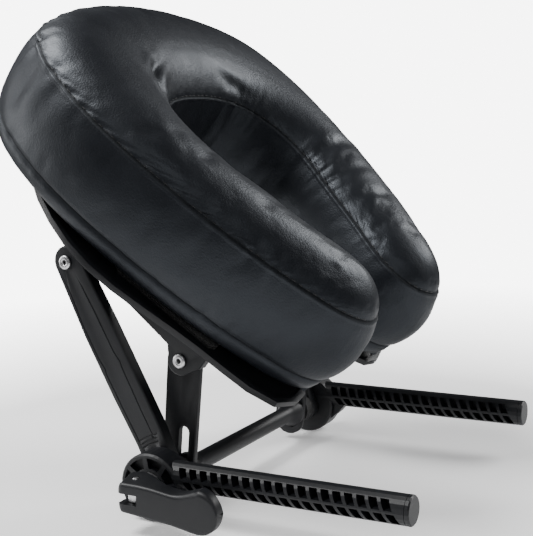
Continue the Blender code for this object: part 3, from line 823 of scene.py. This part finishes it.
@dataclass
class Cushion:
    """Horseshoe cushion: a crowned top panel, upright boxing and a rolled-under bottom panel.

    Attributes:
        outer: half of the outer edge in plan, from the crown to the lobe's tip.
        inner: half of the opening's edge, from the crown to the same tip.
        bottom: height of the bottom panel.
        lower_seam: height of the seam under the boxing.
        upper_seam: height of the seam over it.
        crown: rise of the top panel above the upper seam.
        shoulder: how far from the seam the top panel levels out.
        crown_arc: how quickly the rise levels out.
        crown_fullness: below 1, the rise is fuller beside the seam.
        bulge: how far the boxing swells.
        lobe_bulge: the same at a lobe's tip.
        lobe_share: the share of the cushion's length over which the tip's bulge fades.
        inset: how far the bottom panel rolls under.
        seam_depth: depth of a seam's groove.
        pucker: depth of the puckers along the seams.
        waves: how often each sine of the puckers turns, and where it starts.
        stitch_pitch: distance between stitches.
        thread_radius: half of a stitch's thickness.
        stitch_half: half of a stitch's length.
        settling: how the cover is blown up.
        creases: furrows pressed into the cover.
    """

    outer: tuple = (
        (-0.2975, 0.0), (-0.284, 0.0765), (-0.258, 0.1165), (-0.206, 0.136), (-0.149, 0.133),
        (-0.070, 0.110), (-0.025, 0.088), (-0.004, 0.072), (0.004, 0.056),
    )
    inner: tuple = (
        (-0.2035, 0.0), (-0.189, 0.052), (-0.151, 0.0665), (-0.105, 0.0535), (-0.062, 0.0375),
        (-0.028, 0.0265), (-0.005, 0.034), (0.004, 0.056),
    )
    bottom: float = 0.0042
    lower_seam: float = 0.019
    upper_seam: float = 0.0715
    crown: float = 0.0205
    shoulder: float = 0.036
    crown_arc: float = 2.3
    crown_fullness: float = 0.72
    bulge: float = 0.0030
    lobe_bulge: float = 0.0075
    lobe_share: float = 0.05
    inset: float = 0.0105
    seam_depth: float = 0.0010
    pucker: float = 0.00028
    waves: tuple = ((23, 0.4), (37, 1.9), (58, 4.1), (91, 2.2))
    stitch_pitch: float = 0.0052
    thread_radius: float = 0.0003
    stitch_half: float = 0.0017
    settling: Settling = Settling()
    creases: tuple = (
        Crease(-0.200, -0.062, 150, 0.020, 0.0040, 0.0026),
        Crease(-0.214, -0.052, 118, 0.018, 0.0035, 0.0020),
        Crease(-0.182, -0.078, 170, 0.016, 0.0035, 0.0018),
        Crease(-0.206, 0.040, -125, 0.015, 0.0035, 0.0012),
        Crease(-0.130, 0.080, 80, 0.016, 0.0045, 0.0012),
        Crease(-0.105, 0.072, 75, 0.015, 0.0040, 0.0010),
        Crease(-0.080, 0.063, 70, 0.014, 0.0040, 0.0010),
        Crease(-0.240, -0.128, 0, 0.010, 0.0050, 0.0026, 0.050, 0.016),
        Crease(-0.215, -0.134, 0, 0.007, 0.0045, 0.0020, 0.058, 0.013),
        Crease(-0.262, -0.112, 0, 0.006, 0.0045, 0.0022, 0.055, 0.018),
        Crease(-0.278, -0.085, 0, 0.006, 0.0050, 0.0016, 0.045, 0.018),
    )

    def half_loop(self) -> "list[tuple[float, float]]":
        """The closed outline from the near lobe's tip over the outer edge and back inside.

        Returns:
            Points in plan, with no repeated end.
        """
        near = [(u, -v) for u, v in self.outer[1:]][::-1]
        back = [(u, v) for u, v in self.inner[1:-1]][::-1]
        return near + list(self.outer) + back + [(u, -v) for u, v in self.inner[:-1]]

    def edges(self, count: int) -> Grid:
        """Points along both edges, paired from the near tip to the far one.

        Args:
            count: how many on each.

        Returns:
            The outer edge's points and the opening's.
        """
        loop = self.half_loop()
        last = 2 * len(self.outer) - 2
        rim = periodic_spline(loop, np.linspace(0, last, count))
        opening = periodic_spline(loop, np.linspace(len(loop), last, count))
        return rim, opening

    def outward(self, rim: Array, opening: Array) -> Grid:
        """Unit normals of both edges, away from the foam.

        Args:
            rim: the outer edge's points.
            opening: the opening's points.

        Returns:
            A normal for each point of the rim, and of the opening.
        """
        loop = np.vstack([rim, opening[::-1][1:-1]])
        along = np.roll(loop, -1, axis=0) - np.roll(loop, 1, axis=0)
        normal = np.stack([-along[:, 1], along[:, 0]], -1)
        normal /= np.linalg.norm(normal, axis=1, keepdims=True)
        middle = len(rim) // 2
        if normal[middle, 0] > 0:
            normal = -normal
        first = normal[: len(rim)]
        second = np.vstack([normal[:1], normal[len(rim):][::-1], normal[len(rim) - 1 : len(rim)]])
        return first, second

    def side_profile(self) -> Array:
        """The side of the cover in section, from the bottom panel up to the upper groove.

        The boxing swells as a power of a sine, and the bottom panel rolls under as a quarter
        ellipse.

        Returns:
            Rows of (inset towards the foam, height, share of the bulge, seam value).
        """
        low, high, deep = self.lower_seam, self.upper_seam, self.seam_depth
        mid = np.linspace(0.07, 0.93, 12)
        boxing = [(0.0, low + (high - low) * t, math.sin(math.pi * t) ** 0.8, 0.0) for t in mid]
        roll = np.linspace(0, math.pi / 2, 6)[:-1]
        tuck = self.inset * (1 - np.sin(roll)) + 0.0005
        lift = self.bottom + (low - self.bottom) * (1 - np.cos(roll)) * 0.92
        under = [(inset, height, 0.0, 0.0) for inset, height in zip(tuck, lift)]
        lower = [(0.0, low - 0.0010, 0.0, 0.2), (deep, low, 0.0, 1.0), (-0.0002, low + 0.0009, 0.02, 0.3)]
        upper = [
            (-0.0004, high - 0.0024, 0.08, 0.0),
            (-0.0007, high - 0.0013, 0.04, 0.0),
            (-0.0002, high - 0.0005, 0.0, 0.4),
            (deep, high, 0.0, 1.0),
        ]
        return np.array(under + lower + boxing + upper)

    def plan_height(self, plan: Array, edge: Array) -> Array:
        """Height of the top panel over a place in plan.

        It rises from the seam as an arc that levels out a shoulder's width from the edge.

        Args:
            plan: places in plan.
            edge: points along both edges.

        Returns:
            A height for each place.
        """
        near = nearest_distance(plan.reshape(-1, 2), edge)
        depth = np.clip((near - self.seam_depth) / self.shoulder, 0.0, 1.0)
        rise = (1 - (1 - depth) ** self.crown_arc) ** self.crown_fullness
        return (self.upper_seam + self.crown * rise).reshape(plan.shape[:-1])

    def cover(self, count: int, across: int, fine: bool = True) -> "tuple[Array, Array, Array]":
        """The closed cover in the pad frame.

        One section for each pair of edge points: up the inner side, over the top, down the outer
        side and back underneath.

        Args:
            count: sections.
            across: points over the top.
            fine: puts in the seams' grooves.

        Returns:
            Points by section, faces, and the seam value of each point.
        """
        rim, opening = self.edges(count)
        out_rim, out_opening = self.outward(rim, opening)
        profile = self.side_profile()
        if not fine:
            profile = profile[profile[:, 3] == 0.0]
        width = np.linalg.norm(rim - opening, axis=1)
        from_tip = np.minimum(np.arange(count), np.arange(count)[::-1]) / count
        lobe = np.exp(-((from_tip / self.lobe_share) ** 2))[:, None]
        reach = profile[:, 2] * (self.bulge + (self.lobe_bulge - self.bulge) * lobe) - profile[:, 0]
        inward = np.minimum(-reach, (width * 0.42 + 0.0035)[:, None])
        reach = np.where(reach < 0, -inward, reach)
        height = np.broadcast_to(profile[:, 1], reach.shape)
        outer_side = np.dstack([rim[:, None] + out_rim[:, None] * reach[..., None], height])
        inner_side = np.dstack([opening[:, None] + out_opening[:, None] * reach[..., None], height])
        share = (1 - np.cos(np.linspace(0, math.pi, across + 2)[1:-1])) / 2
        start, end = inner_side[:, -1, :2], outer_side[:, -1, :2]
        plan = start[:, None] + (end - start)[:, None] * share[:, None]
        top = np.dstack([plan, self.plan_height(plan, np.vstack(self.edges(EDGE_STEPS)))])
        under_share = np.linspace(0, 1, 12)[1:-1]
        first, last = outer_side[:, 0], inner_side[:, 0]
        under = first[:, None] + (last - first)[:, None] * under_share[:, None]
        points = np.concatenate([inner_side, top, outer_side[:, ::-1], under], axis=1)
        flat = np.zeros(len(under_share))
        seam = np.concatenate([profile[:, 3], np.zeros(across), profile[::-1, 3], flat])
        faces = grid_faces(count, points.shape[1], False, True)
        return points, faces, np.tile(seam, count)

    def pressed(self, points: Array, normals: Array) -> Array:
        """The cover with its creases pressed in and soft puckers along both seams.

        A crease is a Gaussian across, along and up, between two low banks of the same kind. A
        pucker is a sum of sines of the turn round the opening, and a Gaussian fades it with
        height from each seam.

        Args:
            points: the cover's points in the pad frame.
            normals: their outward directions.

        Returns:
            The pressed points.
        """
        u, v, w = points.T
        depth = np.zeros(len(points))
        for crease in self.creases:
            cos, sin = math.cos(math.radians(crease.heading)), math.sin(math.radians(crease.heading))
            along = (u - crease.u) * cos + (v - crease.v) * sin
            off = (v - crease.v) * cos - (u - crease.u) * sin
            fade = (along / crease.length) ** 2 + ((w - crease.w) / crease.reach) ** 4
            depth += crease.depth * np.exp(-((off / crease.width) ** 2) - fade)
            bank = ((np.abs(off) - 2 * crease.width) / crease.width) ** 2
            depth -= crease.depth * 0.35 * np.exp(-bank - fade)
        turn = np.arctan2(v, u + 0.13)
        wave = sum(np.sin(turn * rate + phase) for rate, phase in self.waves)
        gate = 0.5 + 0.5 * np.sin(turn * 5 + 1.1)
        close = np.exp(-(((w - self.upper_seam) / 0.010) ** 2))
        close += 0.7 * np.exp(-(((w - self.lower_seam) / 0.009) ** 2))
        depth += wave * gate * close * self.pucker
        return points - normals * depth[:, None]

    def settled(self) -> Grid:
        """Blows up a coarse cloth copy of the cover and reads how far each point moved.

        Returns:
            Rest positions and movements of the copy's points.
        """
        points, faces, _ = self.cover(121, 26, fine=False)
        coarse = surface("cushion_blank", points, faces, bpy.data.materials["black_leather"])
        mesh = coarse.modifiers.new("Cells", "REMESH")
        mesh.mode = "VOXEL"
        mesh.voxel_size = self.settling.voxel
        with_modifiers(coarse)
        rest = vertex_array(coarse.data)
        w = rest[:, 2]
        beside = nearest_distance(rest, np.vstack(self.edges(EDGE_STEPS)))
        at_upper = np.hypot(beside, w - self.upper_seam) < self.settling.upper_hold
        at_lower = np.hypot(beside, w - self.lower_seam) < self.settling.lower_hold
        held = np.flatnonzero(at_upper | at_lower | (w < self.bottom + self.settling.base_hold))
        group = coarse.vertex_groups.new(name="sewn")
        group.add(held.tolist(), 1.0, "REPLACE")
        cloth = coarse.modifiers.new("Cloth", "CLOTH")
        for key, value in self.settling.cloth:
            setattr(cloth.settings, key, value)
        cloth.settings.effector_weights.gravity = 0.0
        cloth.point_cache.frame_start = 1
        cloth.point_cache.frame_end = self.settling.frames
        scene = bpy.context.scene
        for step in range(1, self.settling.frames + 1):
            scene.frame_set(step)
        with_modifiers(coarse)
        moved = vertex_array(coarse.data) - rest
        scene.frame_set(1)
        bpy.data.objects.remove(coarse)
        return rest, moved

    def carried(self, points: Array, rest: Array, moved: Array) -> Array:
        """Carries the copy's movement to the fine cover.

        Each point takes the mean of its nearest copy points, weighted by inverse square
        distance, with the length softly capped.

        Args:
            points: the fine cover's points.
            rest: the copy's points before it was blown up.
            moved: how far each of them moved.

        Returns:
            The moved points.
        """
        most, count = self.settling.most, self.settling.neighbours
        size = np.linalg.norm(moved, axis=1, keepdims=True)
        moved = moved * (most * np.tanh(size / most) / np.maximum(size, 1e-9))
        shift = np.zeros_like(points)
        for chunk in np.array_split(np.arange(len(points)), max(1, len(points) // 1500)):
            here = points[chunk].astype(np.float32)
            square = ((here[:, None] - rest[None].astype(np.float32)) ** 2).sum(-1)
            near = np.argpartition(square, count, axis=1)[:, :count]
            weight = 1 / (np.take_along_axis(square, near, axis=1) + 1e-6)
            weight /= weight.sum(axis=1, keepdims=True)
            shift[chunk] = (moved[near] * weight[..., None]).sum(axis=1)
        return points + shift

    def build(self, finishes: Wardrobe) -> bpy.types.Object:
        """Makes the cover, settles it and presses its creases in.

        Args:
            finishes: the materials.

        Returns:
            The cover.
        """
        count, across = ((361, 64))
        points, faces, seam = self.cover(count, across)
        flat = points.reshape(-1, 3)
        rest, moved = self.settled()
        hold = np.exp(-seam * 3.0)[:, None]
        flat = flat + (self.carried(flat, rest, moved) - flat) * hold
        obj = surface("cushion_cover", flat, faces, finishes.leather)
        normals = np.empty(len(obj.data.vertices) * 3, np.float32)
        obj.data.vertices.foreach_get("normal", normals)
        local = self.pressed(vertex_array(obj.data), normals.reshape(-1, 3))
        store = self.seam_values(local)
        obj.data.vertices.foreach_set("co", PAD.world(local).astype(np.float32).ravel())
        # The seam mask drives the leather's painted groove shade and its rougher grooves.
        mark = obj.data.attributes.new("seam", "FLOAT", "POINT")
        mark.data.foreach_set("value", store.astype(np.float32))
        obj.data.update()
        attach(obj, "face_cushion")
        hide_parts("cushion")
        return obj

    def seam_values(self, local: Array) -> Array:
        """How deep in a seam's groove each point is: a Gaussian of its distance from the groove.

        Args:
            local: points in the pad frame.

        Returns:
            1 in a groove and 0 a few millimetres away.
        """
        edge = np.vstack(self.edges(FINE_STEPS))
        value = np.zeros(len(local))
        for height in (self.upper_seam, self.lower_seam):
            band = np.abs(local[:, 2] - height) < 0.004
            place = local[band]
            off = (nearest_distance(place, edge) - self.seam_depth) / 0.0011
            value[band] = np.exp(-(off**2) - ((place[:, 2] - height) / 0.0008) ** 2)
        return value

    def stitches(self, finishes: Wardrobe) -> bpy.types.Object:
        """Short raised threads along the upper seam, each a stretched ball of a few faces.

        Args:
            finishes: the materials.

        Returns:
            The stitching.
        """
        rim, opening = self.edges(FINE_STEPS)
        out_rim, out_opening = self.outward(rim, opening)
        grids = []
        angle = np.linspace(0, 2 * math.pi, 6, endpoint=False)
        for edge, outward in ((rim, out_rim), (opening, out_opening)):
            height = np.full(len(edge), self.upper_seam + 0.0008)
            line = np.c_[edge - outward * self.seam_depth * 1.1, height]
            run = np.r_[0.0, np.cumsum(np.linalg.norm(np.diff(line, axis=0), axis=1))]
            where = np.arange(0.008, run[-1] - 0.008, self.stitch_pitch)
            middle = np.stack([np.interp(where, run, line[:, k]) for k in range(3)], -1)
            ahead = np.stack([np.interp(where + 0.001, run, line[:, k]) for k in range(3)], -1) - middle
            ahead /= np.linalg.norm(ahead, axis=1, keepdims=True)
            up = np.array([0.0, 0.0, 1.0])
            side = np.cross(ahead, up)
            t = np.linspace(-1, 1, 6)
            thick = self.thread_radius * np.sqrt(1 - t**2 * 0.96)
            ring = middle[:, None, None] + ahead[:, None, None] * (t * self.stitch_half)[:, None, None]
            ring = ring + side[:, None, None] * (thick[:, None] * np.cos(angle))[..., None]
            ring = ring + up * (thick[:, None] * np.sin(angle))[..., None]
            one = grid_faces(len(t), len(angle), False, True)
            size = len(t) * len(angle)
            every = (one[None] + (np.arange(len(middle)) * size)[:, None, None]).reshape(-1, 4)
            grids.append((PAD.world(ring.reshape(-1, 3)), every))
        obj = joined("cushion_stitching", grids, finishes.thread)
        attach(obj, "face_cushion")
        return obj


# ---------------------------------------------------------------- the mechanism


def box_middle(node: str) -> Vector:
    """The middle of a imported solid's box, by the solid's name."""
    low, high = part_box(node)
    return (low + high) / 2


@dataclass(frozen=True)
class ArmGrooves:
    """Narrow channels in a long arm's outer face.

    A place on the arm is (share of the way from the rivet to the clamp axis, offset across).

    Attributes:
        channels: two channels along the arm, each with a jog at mid-length.
        width: width of those channels.
        depth: their depth.
        spacing: distance between points along them.
        arcs: radii of the short arcs round the hub.
        arc_span: where the arcs start and end, in radians from +X.
        arc_steps: points on each arc.
        arc_width: width of the arcs.
        arc_depth: their depth.
    """

    channels: tuple = (
        (
            (0.09, 0.0036), (0.24, 0.0048), (0.44, 0.0052), (0.47, 0.0068),
            (0.50, 0.0060), (0.70, 0.0056), (0.84, 0.0058),
        ),
        (
            (0.09, -0.0064), (0.26, -0.0086), (0.44, -0.0082), (0.47, -0.0068),
            (0.50, -0.0078), (0.70, -0.0070), (0.84, -0.0060),
        ),
    )
    width: float = 0.0011
    depth: float = 0.0005
    spacing: float = 0.004
    arcs: tuple = (0.0247, 0.0272, 0.0297)
    arc_span: tuple = (1.72, 2.28)
    arc_steps: int = 14
    arc_width: float = 0.0009
    arc_depth: float = 0.0004

    def cutters(self, side: str) -> "list[Grid]":
        """The solids that cut one arm's channels.

        Args:
            side: near or far.

        Returns:
            Points and faces of each.
        """
        low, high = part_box(f"long_arm_{side}")
        face, outward = (high.y, 1.0) if side == "far" else (low.y, -1.0)
        inward = np.array([0.0, -outward, 0.0])
        rivet, hub = box_middle(f"arm_rivet_{side}"), box_middle("cross_bar")
        start = np.array([rivet.x, face, rivet.z])
        along = np.array([hub.x - rivet.x, 0.0, hub.z - rivet.z])
        across = np.array([-along[2], 0.0, along[0]]) / np.linalg.norm(along)
        grids = []
        for places in self.channels:
            share, offset = np.array(places).T[..., None]
            path = along_points(start + along * share + across * offset, self.spacing)
            grids.append(channel(path, inward, self.width, self.depth))
        angle = np.linspace(*self.arc_span, self.arc_steps)
        for radius in self.arcs:
            ring = [hub.x + radius * np.cos(angle), np.full(len(angle), face), hub.z + radius * np.sin(angle)]
            grids.append(channel(np.stack(ring, -1), inward, self.arc_width, self.arc_depth))
        return grids


@dataclass(frozen=True)
class Mechanism:
    """Posts, arms, brackets, bar and clamp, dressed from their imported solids.

    Attributes:
        rounding: how far each moulding's edges are rounded.
        shells: mouldings that are only rounded.
        rivet_nodes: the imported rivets.
        rivet_head: thickness of a rivet's head.
    """

    rounding: float = 0.0006
    shells: tuple = (
        "slotted_arm_near",
        "slotted_arm_far",
        "bracket_near",
        "bracket_far",
        "platform",
        "cross_bar",
    )
    rivet_nodes: tuple = ("arm_rivet_near", "arm_rivet_far", "link_rivet_near", "link_rivet_far")
    rivet_head: float = 0.0018

    def dress(self, finishes: Wardrobe) -> None:
        """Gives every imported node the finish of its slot.

        Args:
            finishes: the materials.
        """
        for part in frame["record"]["subparts"]:
            node = frame["nodes"][part["node"]]
            node.data.materials.clear()
            node.data.materials.append(finishes.of(Slot(part["material_slot"])))

    def shell(self, node: str, finishes: Wardrobe) -> bpy.types.Object:
        """A rounded moulding in place of a packed one.

        Args:
            node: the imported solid.
            finishes: the materials.

        Returns:
            The moulding.
        """
        piece = softened(node, f"{node}_shell", self.rounding, finishes.plastic)
        log.info("%s made", piece.name)
        return piece

    def mouldings(self, finishes: Wardrobe) -> None:
        """Rounds the brackets, slotted arms, platform and bar, and grooves the long arms.

        Args:
            finishes: the materials.
        """
        for node in self.shells:
            self.shell(node, finishes)
        for side in ("near", "far"):
            shaded(cut_away(self.shell(f"long_arm_{side}", finishes), ArmGrooves().cutters(side)))

    def rivets(self, finishes: Wardrobe) -> None:
        """Hollow rivets with rolled rims, turned about their own axes.

        Args:
            finishes: the materials.
        """
        thick = self.rivet_head
        for node in self.rivet_nodes:
            low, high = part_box(node)
            head = (high.x - low.x) / 2
            hole, shank = head * 0.30, head * 0.57
            roll = [
                (-0.05, head * 0.94), (0.45, head), (0.80, head * 0.86), (0.98, head * 0.62),
                (0.92, head * 0.44), (0.60, head * 0.34), (0.0, hole),
            ]
            far = [(high.y - thick + thick * y, r) for y, r in roll]
            near = [(low.y + thick - thick * y, r) for y, r in reversed(roll)]
            profile = near + [(low.y + thick, shank), (high.y - thick, shank)] + far
            piece = surface(f"{node}_rolled", *turned(profile, tuple(box_middle(node))), finishes.steel)
            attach(piece, frame["nodes"][node]["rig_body"])
            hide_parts(node)
            log.info("%s made", piece.name)


@dataclass
class CamLever:
    """The cam lever and its pin: a loft along X, forked for the rod's eye and drilled.

    Each section is a rectangle whose four corners are arcs. Reach is the distance along X from
    the pin, and each curve holds (reach, value) points with straight runs between them.

    Attributes:
        stations: how many sections, closer together at both ends.
        corner_steps: points in each corner.
        paddle: radius of the paddle's round end.
        crest: height of the top, before the paddle.
        smoothing: how many stations the crest is averaged over, on each side.
        drop: how far the top falls from back to front.
        under: height of the bottom, before the paddle.
        knuckle: how far the knuckle's top and bottom are rounded off.
        nose: how far its front is, and over what length.
        back: how far the back is behind the pin.
        ridge: radius of the top front corner.
        back_round: radius of both back corners.
        foot_round: radius of the bottom front corner.
        fork_half: half of the fork's gap.
        fork_reach: where the fork ends.
        bore: radius of the pin's hole.
        bore_steps: steps round the hole.
        margin: how far a cutter runs past the lever.
        pin_radius: radius of the pin.
        pin_chamfer: its chamfer.
        pin_steps: steps round the pin.
        pin_share: the share of the drop that the pin's head stands at.
    """

    stations: int = 72
    corner_steps: int = 8
    paddle: float = 0.0136
    crest: tuple = (
        (-0.0084, 0.0042), (0.010, 0.0036), (0.020, 0.0020), (0.030, -0.0004),
        (0.036, -0.0010), (0.0425, 0.0012), (0.0495, 0.0037),
    )
    smoothing: int = 4
    drop: tuple = ((-0.0084, 0.0026), (0.012, 0.0020), (0.030, 0.0008), (0.0425, 0.0))
    under: tuple = ((-0.0084, -0.0170), (0.030, -0.0204), (0.044, -0.0228), (0.0495, -0.0235))
    knuckle: float = 0.003
    nose: tuple = (0.0022, 0.004)
    back: tuple = (
        (-0.0084, 0.0050), (0.0, 0.0109), (0.0085, 0.0070), (0.016, 0.0035),
        (0.022, 0.0015), (0.047, 0.0013), (0.0606, -0.0015),
    )
    ridge: tuple = ((-0.0084, 0.0024), (0.012, 0.0022), (0.030, 0.0022), (0.044, 0.0034), (0.0606, 0.0030))
    back_round: float = 0.0016
    foot_round: float = 0.0022
    fork_half: float = 0.0033
    fork_reach: float = 0.0063
    bore: float = 0.0022
    bore_steps: int = 24
    margin: float = 0.01
    pin_radius: float = 0.0019
    pin_chamfer: float = 0.0003
    pin_steps: int = 28
    pin_share: float = 0.55

    def __post_init__(self) -> None:
        """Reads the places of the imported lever, pin and bar, and spaces the stations."""
        self.low, self.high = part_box("cam_lever")
        self.pin = box_middle("lever_pin")
        self.rod_z = box_middle("cross_bar").z
        share = (1 - np.cos(np.linspace(0, math.pi, self.stations))) / 2
        self.x = self.low.x + (self.high.x - self.low.x) * share
        self.reach = self.x - self.pin.x

    def at(self, curve: tuple) -> Array:
        """A curve's value at every station."""
        return np.interp(self.reach, *np.array(curve).T)

    def rounded_off(self, amount: float, length: float) -> Array:
        """amount at the knuckle's end, falling to 0 over a length as a square."""
        return amount * np.clip(1 - (self.x - self.low.x) / length, 0.0, 1.0) ** 2

    def top_and_bottom(self) -> Grid:
        """Heights of every station: two curves, then a circle past the paddle's middle.

        Returns:
            The top at the back, and the bottom.
        """
        middle_x, middle_z = self.high.x - self.paddle, self.low.z + self.paddle
        past = np.clip(self.x - middle_x, 0.0, None)
        swell = np.sqrt(np.clip(self.paddle**2 - past**2, 0.0, None))
        window = 2 * self.smoothing + 1
        padded = np.pad(self.at(self.crest), self.smoothing, "edge")
        crest = np.convolve(padded, np.ones(window) / window, "valid")
        top = np.where(self.x > middle_x, middle_z + swell, crest)
        bottom = np.where(self.x > middle_x, middle_z - swell, self.at(self.under))
        corner = self.rounded_off(self.knuckle, self.knuckle)
        return top - corner, bottom + corner

    def loft(self) -> Grid:
        """The whole lever before it is cut.

        A corner's points are centre + radius * (cos, sin) over a quarter turn, with the radius
        held under half of the section. Each end is closed at its middle.

        Returns:
            Points and faces.
        """
        top, bottom = self.top_and_bottom()
        front = self.low.y + self.rounded_off(*self.nose)
        back = np.minimum(self.pin.y + self.at(self.back), self.high.y)
        most = np.maximum(np.minimum(top - bottom, back - front) * 0.48, 1e-5)
        corners = (
            (0.5, self.at(self.ridge), front, top - self.at(self.drop), 1, -1),
            (1.0, self.foot_round, front, bottom, 1, 1),
            (1.5, self.back_round, back, bottom, -1, 1),
            (0.0, self.back_round, back, top, -1, -1),
        )
        grid = []
        for turn, size, y_edge, z_edge, y_way, z_way in corners:
            radius = np.minimum(size, most)
            angle = np.linspace(turn * math.pi, (turn + 0.5) * math.pi, self.corner_steps)
            y = (y_edge + y_way * radius)[:, None] + radius[:, None] * np.cos(angle)
            z = (z_edge + z_way * radius)[:, None] + radius[:, None] * np.sin(angle)
            grid.append(np.dstack([np.broadcast_to(self.x[:, None], y.shape), y, z]))
        body = np.concatenate(grid, axis=1)
        middle = np.broadcast_to(body.mean(axis=1, keepdims=True), body.shape)
        body = np.concatenate([middle[:1], body, middle[-1:]])
        return body, grid_faces(*body.shape[:2], False, True)

    def build(self, finishes: Wardrobe) -> None:
        """Makes the lever, cuts its fork and its hole, and makes the pin.

        Args:
            finishes: the materials.
        """
        piece = surface("cam_lever_shell", *self.loft(), finishes.plastic)
        past = self.margin
        fork_low = (self.low.x - past, self.low.y - past, self.rod_z - self.fork_half)
        fork_high = (self.pin.x + self.fork_reach, self.high.y + past, self.rod_z + self.fork_half)
        cut_away(piece, [block(fork_low, fork_high)])
        foot, head = self.low.z - past, self.high.z + past
        rings = [(foot, 0.0), (foot, self.bore), (head, self.bore), (head, 0.0)]
        cut_away(piece, [upright(rings, self.pin.x, self.pin.y, self.bore_steps)])
        shaded(piece, EDGE_ANGLE)
        self.place(piece, "cam_lever", Slot.PLASTIC)
        self.turned_pin(finishes)

    def turned_pin(self, finishes: Wardrobe) -> None:
        """The pin, a little proud of the lever's top.

        Args:
            finishes: the materials.
        """
        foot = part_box("lever_pin")[0].z
        top, _ = self.top_and_bottom()
        face = np.interp(self.pin.x, self.x, top - self.at(self.drop) * self.pin_share)
        slim = self.pin_radius - self.pin_chamfer
        rings = [(foot, 0.0), (foot, slim), (foot + 0.0004, self.pin_radius)]
        rings += [(face - 0.0002, self.pin_radius), (face + 0.0003, slim - 0.0001), (face + 0.0003, 0.0)]
        grid = upright(rings, self.pin.x, self.pin.y, self.pin_steps)
        self.place(shaded(surface("lever_pin_turned", *grid, finishes.steel)), "lever_pin", Slot.STEEL)

    def place(self, piece: bpy.types.Object, node: str, slot: Slot) -> None:
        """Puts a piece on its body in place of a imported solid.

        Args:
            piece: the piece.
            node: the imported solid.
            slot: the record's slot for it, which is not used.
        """
        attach(piece, frame["nodes"][node]["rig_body"])
        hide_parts(node)
        log.info("%s made", piece.name)


# ---------------------------------------------------------------- studio


@dataclass(frozen=True)
class Softbox:
    """An area light that faces a point."""

    name: str
    place: Point
    size: tuple[float, float]
    watts: float
    target: Point = (-0.02, 0.0, 0.12)

    def build(self) -> None:
        """Adds the light."""
        data = bpy.data.lights.new(self.name, "AREA")
        data.shape = "RECTANGLE"
        data.size, data.size_y = self.size
        data.energy = self.watts
        lamp = bpy.data.objects.new(self.name, data)
        lamp.location = self.place
        aim = Vector(self.target) - Vector(self.place)
        lamp.rotation_euler = aim.to_track_quat("-Z", "Y").to_euler()
        bpy.context.scene.collection.objects.link(lamp)


@dataclass(frozen=True)
class Studio:
    """Pale floor, white surround, soft lights and the camera."""

    eye: Point = (0.36787, -0.66534, 0.22371)
    azimuth: float = math.radians(29.177)
    elevation: float = math.radians(8.106)
    roll: float = math.radians(-1.892)
    lens: float = 75.08
    floor: float = -0.0305
    ambient: float = 0.06
    backdrop: float = 7.0

    def camera(self) -> None:
        """Adds the camera from its azimuth, elevation and roll."""
        az, el = self.azimuth, self.elevation
        back = Vector((math.sin(az) * math.cos(el), -math.cos(az) * math.cos(el), math.sin(el)))
        right = (-back).cross(Vector((0, 0, 1))).normalized()
        up = back.cross(right)
        cos, sin = math.cos(self.roll), math.sin(self.roll)
        right, up = cos * right + sin * up, cos * up - sin * right
        data = bpy.data.cameras.new("camera")
        data.lens = self.lens
        data.sensor_width = 36.0
        data.clip_start = 0.01
        obj = bpy.data.objects.new("camera", data)
        axes = Matrix((right, up, back)).transposed().to_4x4()
        obj.matrix_world = Matrix.Translation(Vector(self.eye)) @ axes
        bpy.context.scene.collection.objects.link(obj)
        bpy.context.scene.camera = obj

    def ground(self) -> None:
        """A wide disc of paper under the object."""
        rings = [(self.floor, radius) for radius in (0.0, 0.5, 1.5, 6.0)]
        surface("floor", *upright(rings, 0.0, 0.0, 96), StudioFloor().build())

    def surround(self) -> None:
        """White to the eye, dimmer as a light."""
        world = bpy.data.worlds.new("surround")
        bpy.context.scene.world = world
        world.use_nodes = True
        nodes, links = world.node_tree.nodes, world.node_tree.links
        path = nodes.new("ShaderNodeLightPath")
        shade = nodes.new("ShaderNodeMapRange")
        links.new(path.outputs["Is Camera Ray"], shade.inputs["Value"])
        shade.inputs["To Min"].default_value = self.ambient
        shade.inputs["To Max"].default_value = self.backdrop
        backdrop = nodes["Background"]
        backdrop.inputs["Color"].default_value = (1.0, 1.0, 1.0, 1.0)
        links.new(shade.outputs["Result"], backdrop.inputs["Strength"])

    def build(self) -> None:
        """Sets the whole studio."""
        self.camera()
        self.ground()
        self.surround()
        Softbox("key", (-0.75, -0.35, 1.35), (0.8, 0.7), 34.0).build()
        Softbox("back", (0.9, 1.1, 1.0), (1.0, 0.7), 26.0).build()
        Softbox("side", (-1.3, -0.5, 0.35), (0.4, 0.8), 7.0).build()
        Softbox("front", (0.7, -1.3, 0.9), (0.9, 0.5), 4.0).build()


def main() -> None:
    """Builds the studio and every piece in order."""
    logging.basicConfig(level=logging.INFO, format="%(message)s")
    Studio().build()
    finishes = Wardrobe()
    mechanism = Mechanism()
    mechanism.dress(finishes)
    cushion = Cushion()
    log.info("%s made", cushion.build(finishes).name)
    log.info("%s made", cushion.stitches(finishes).name)
    mechanism.mouldings(finishes)
    CamLever().build(finishes)
    mechanism.rivets(finishes)


if __name__ == "__main__":
    main()
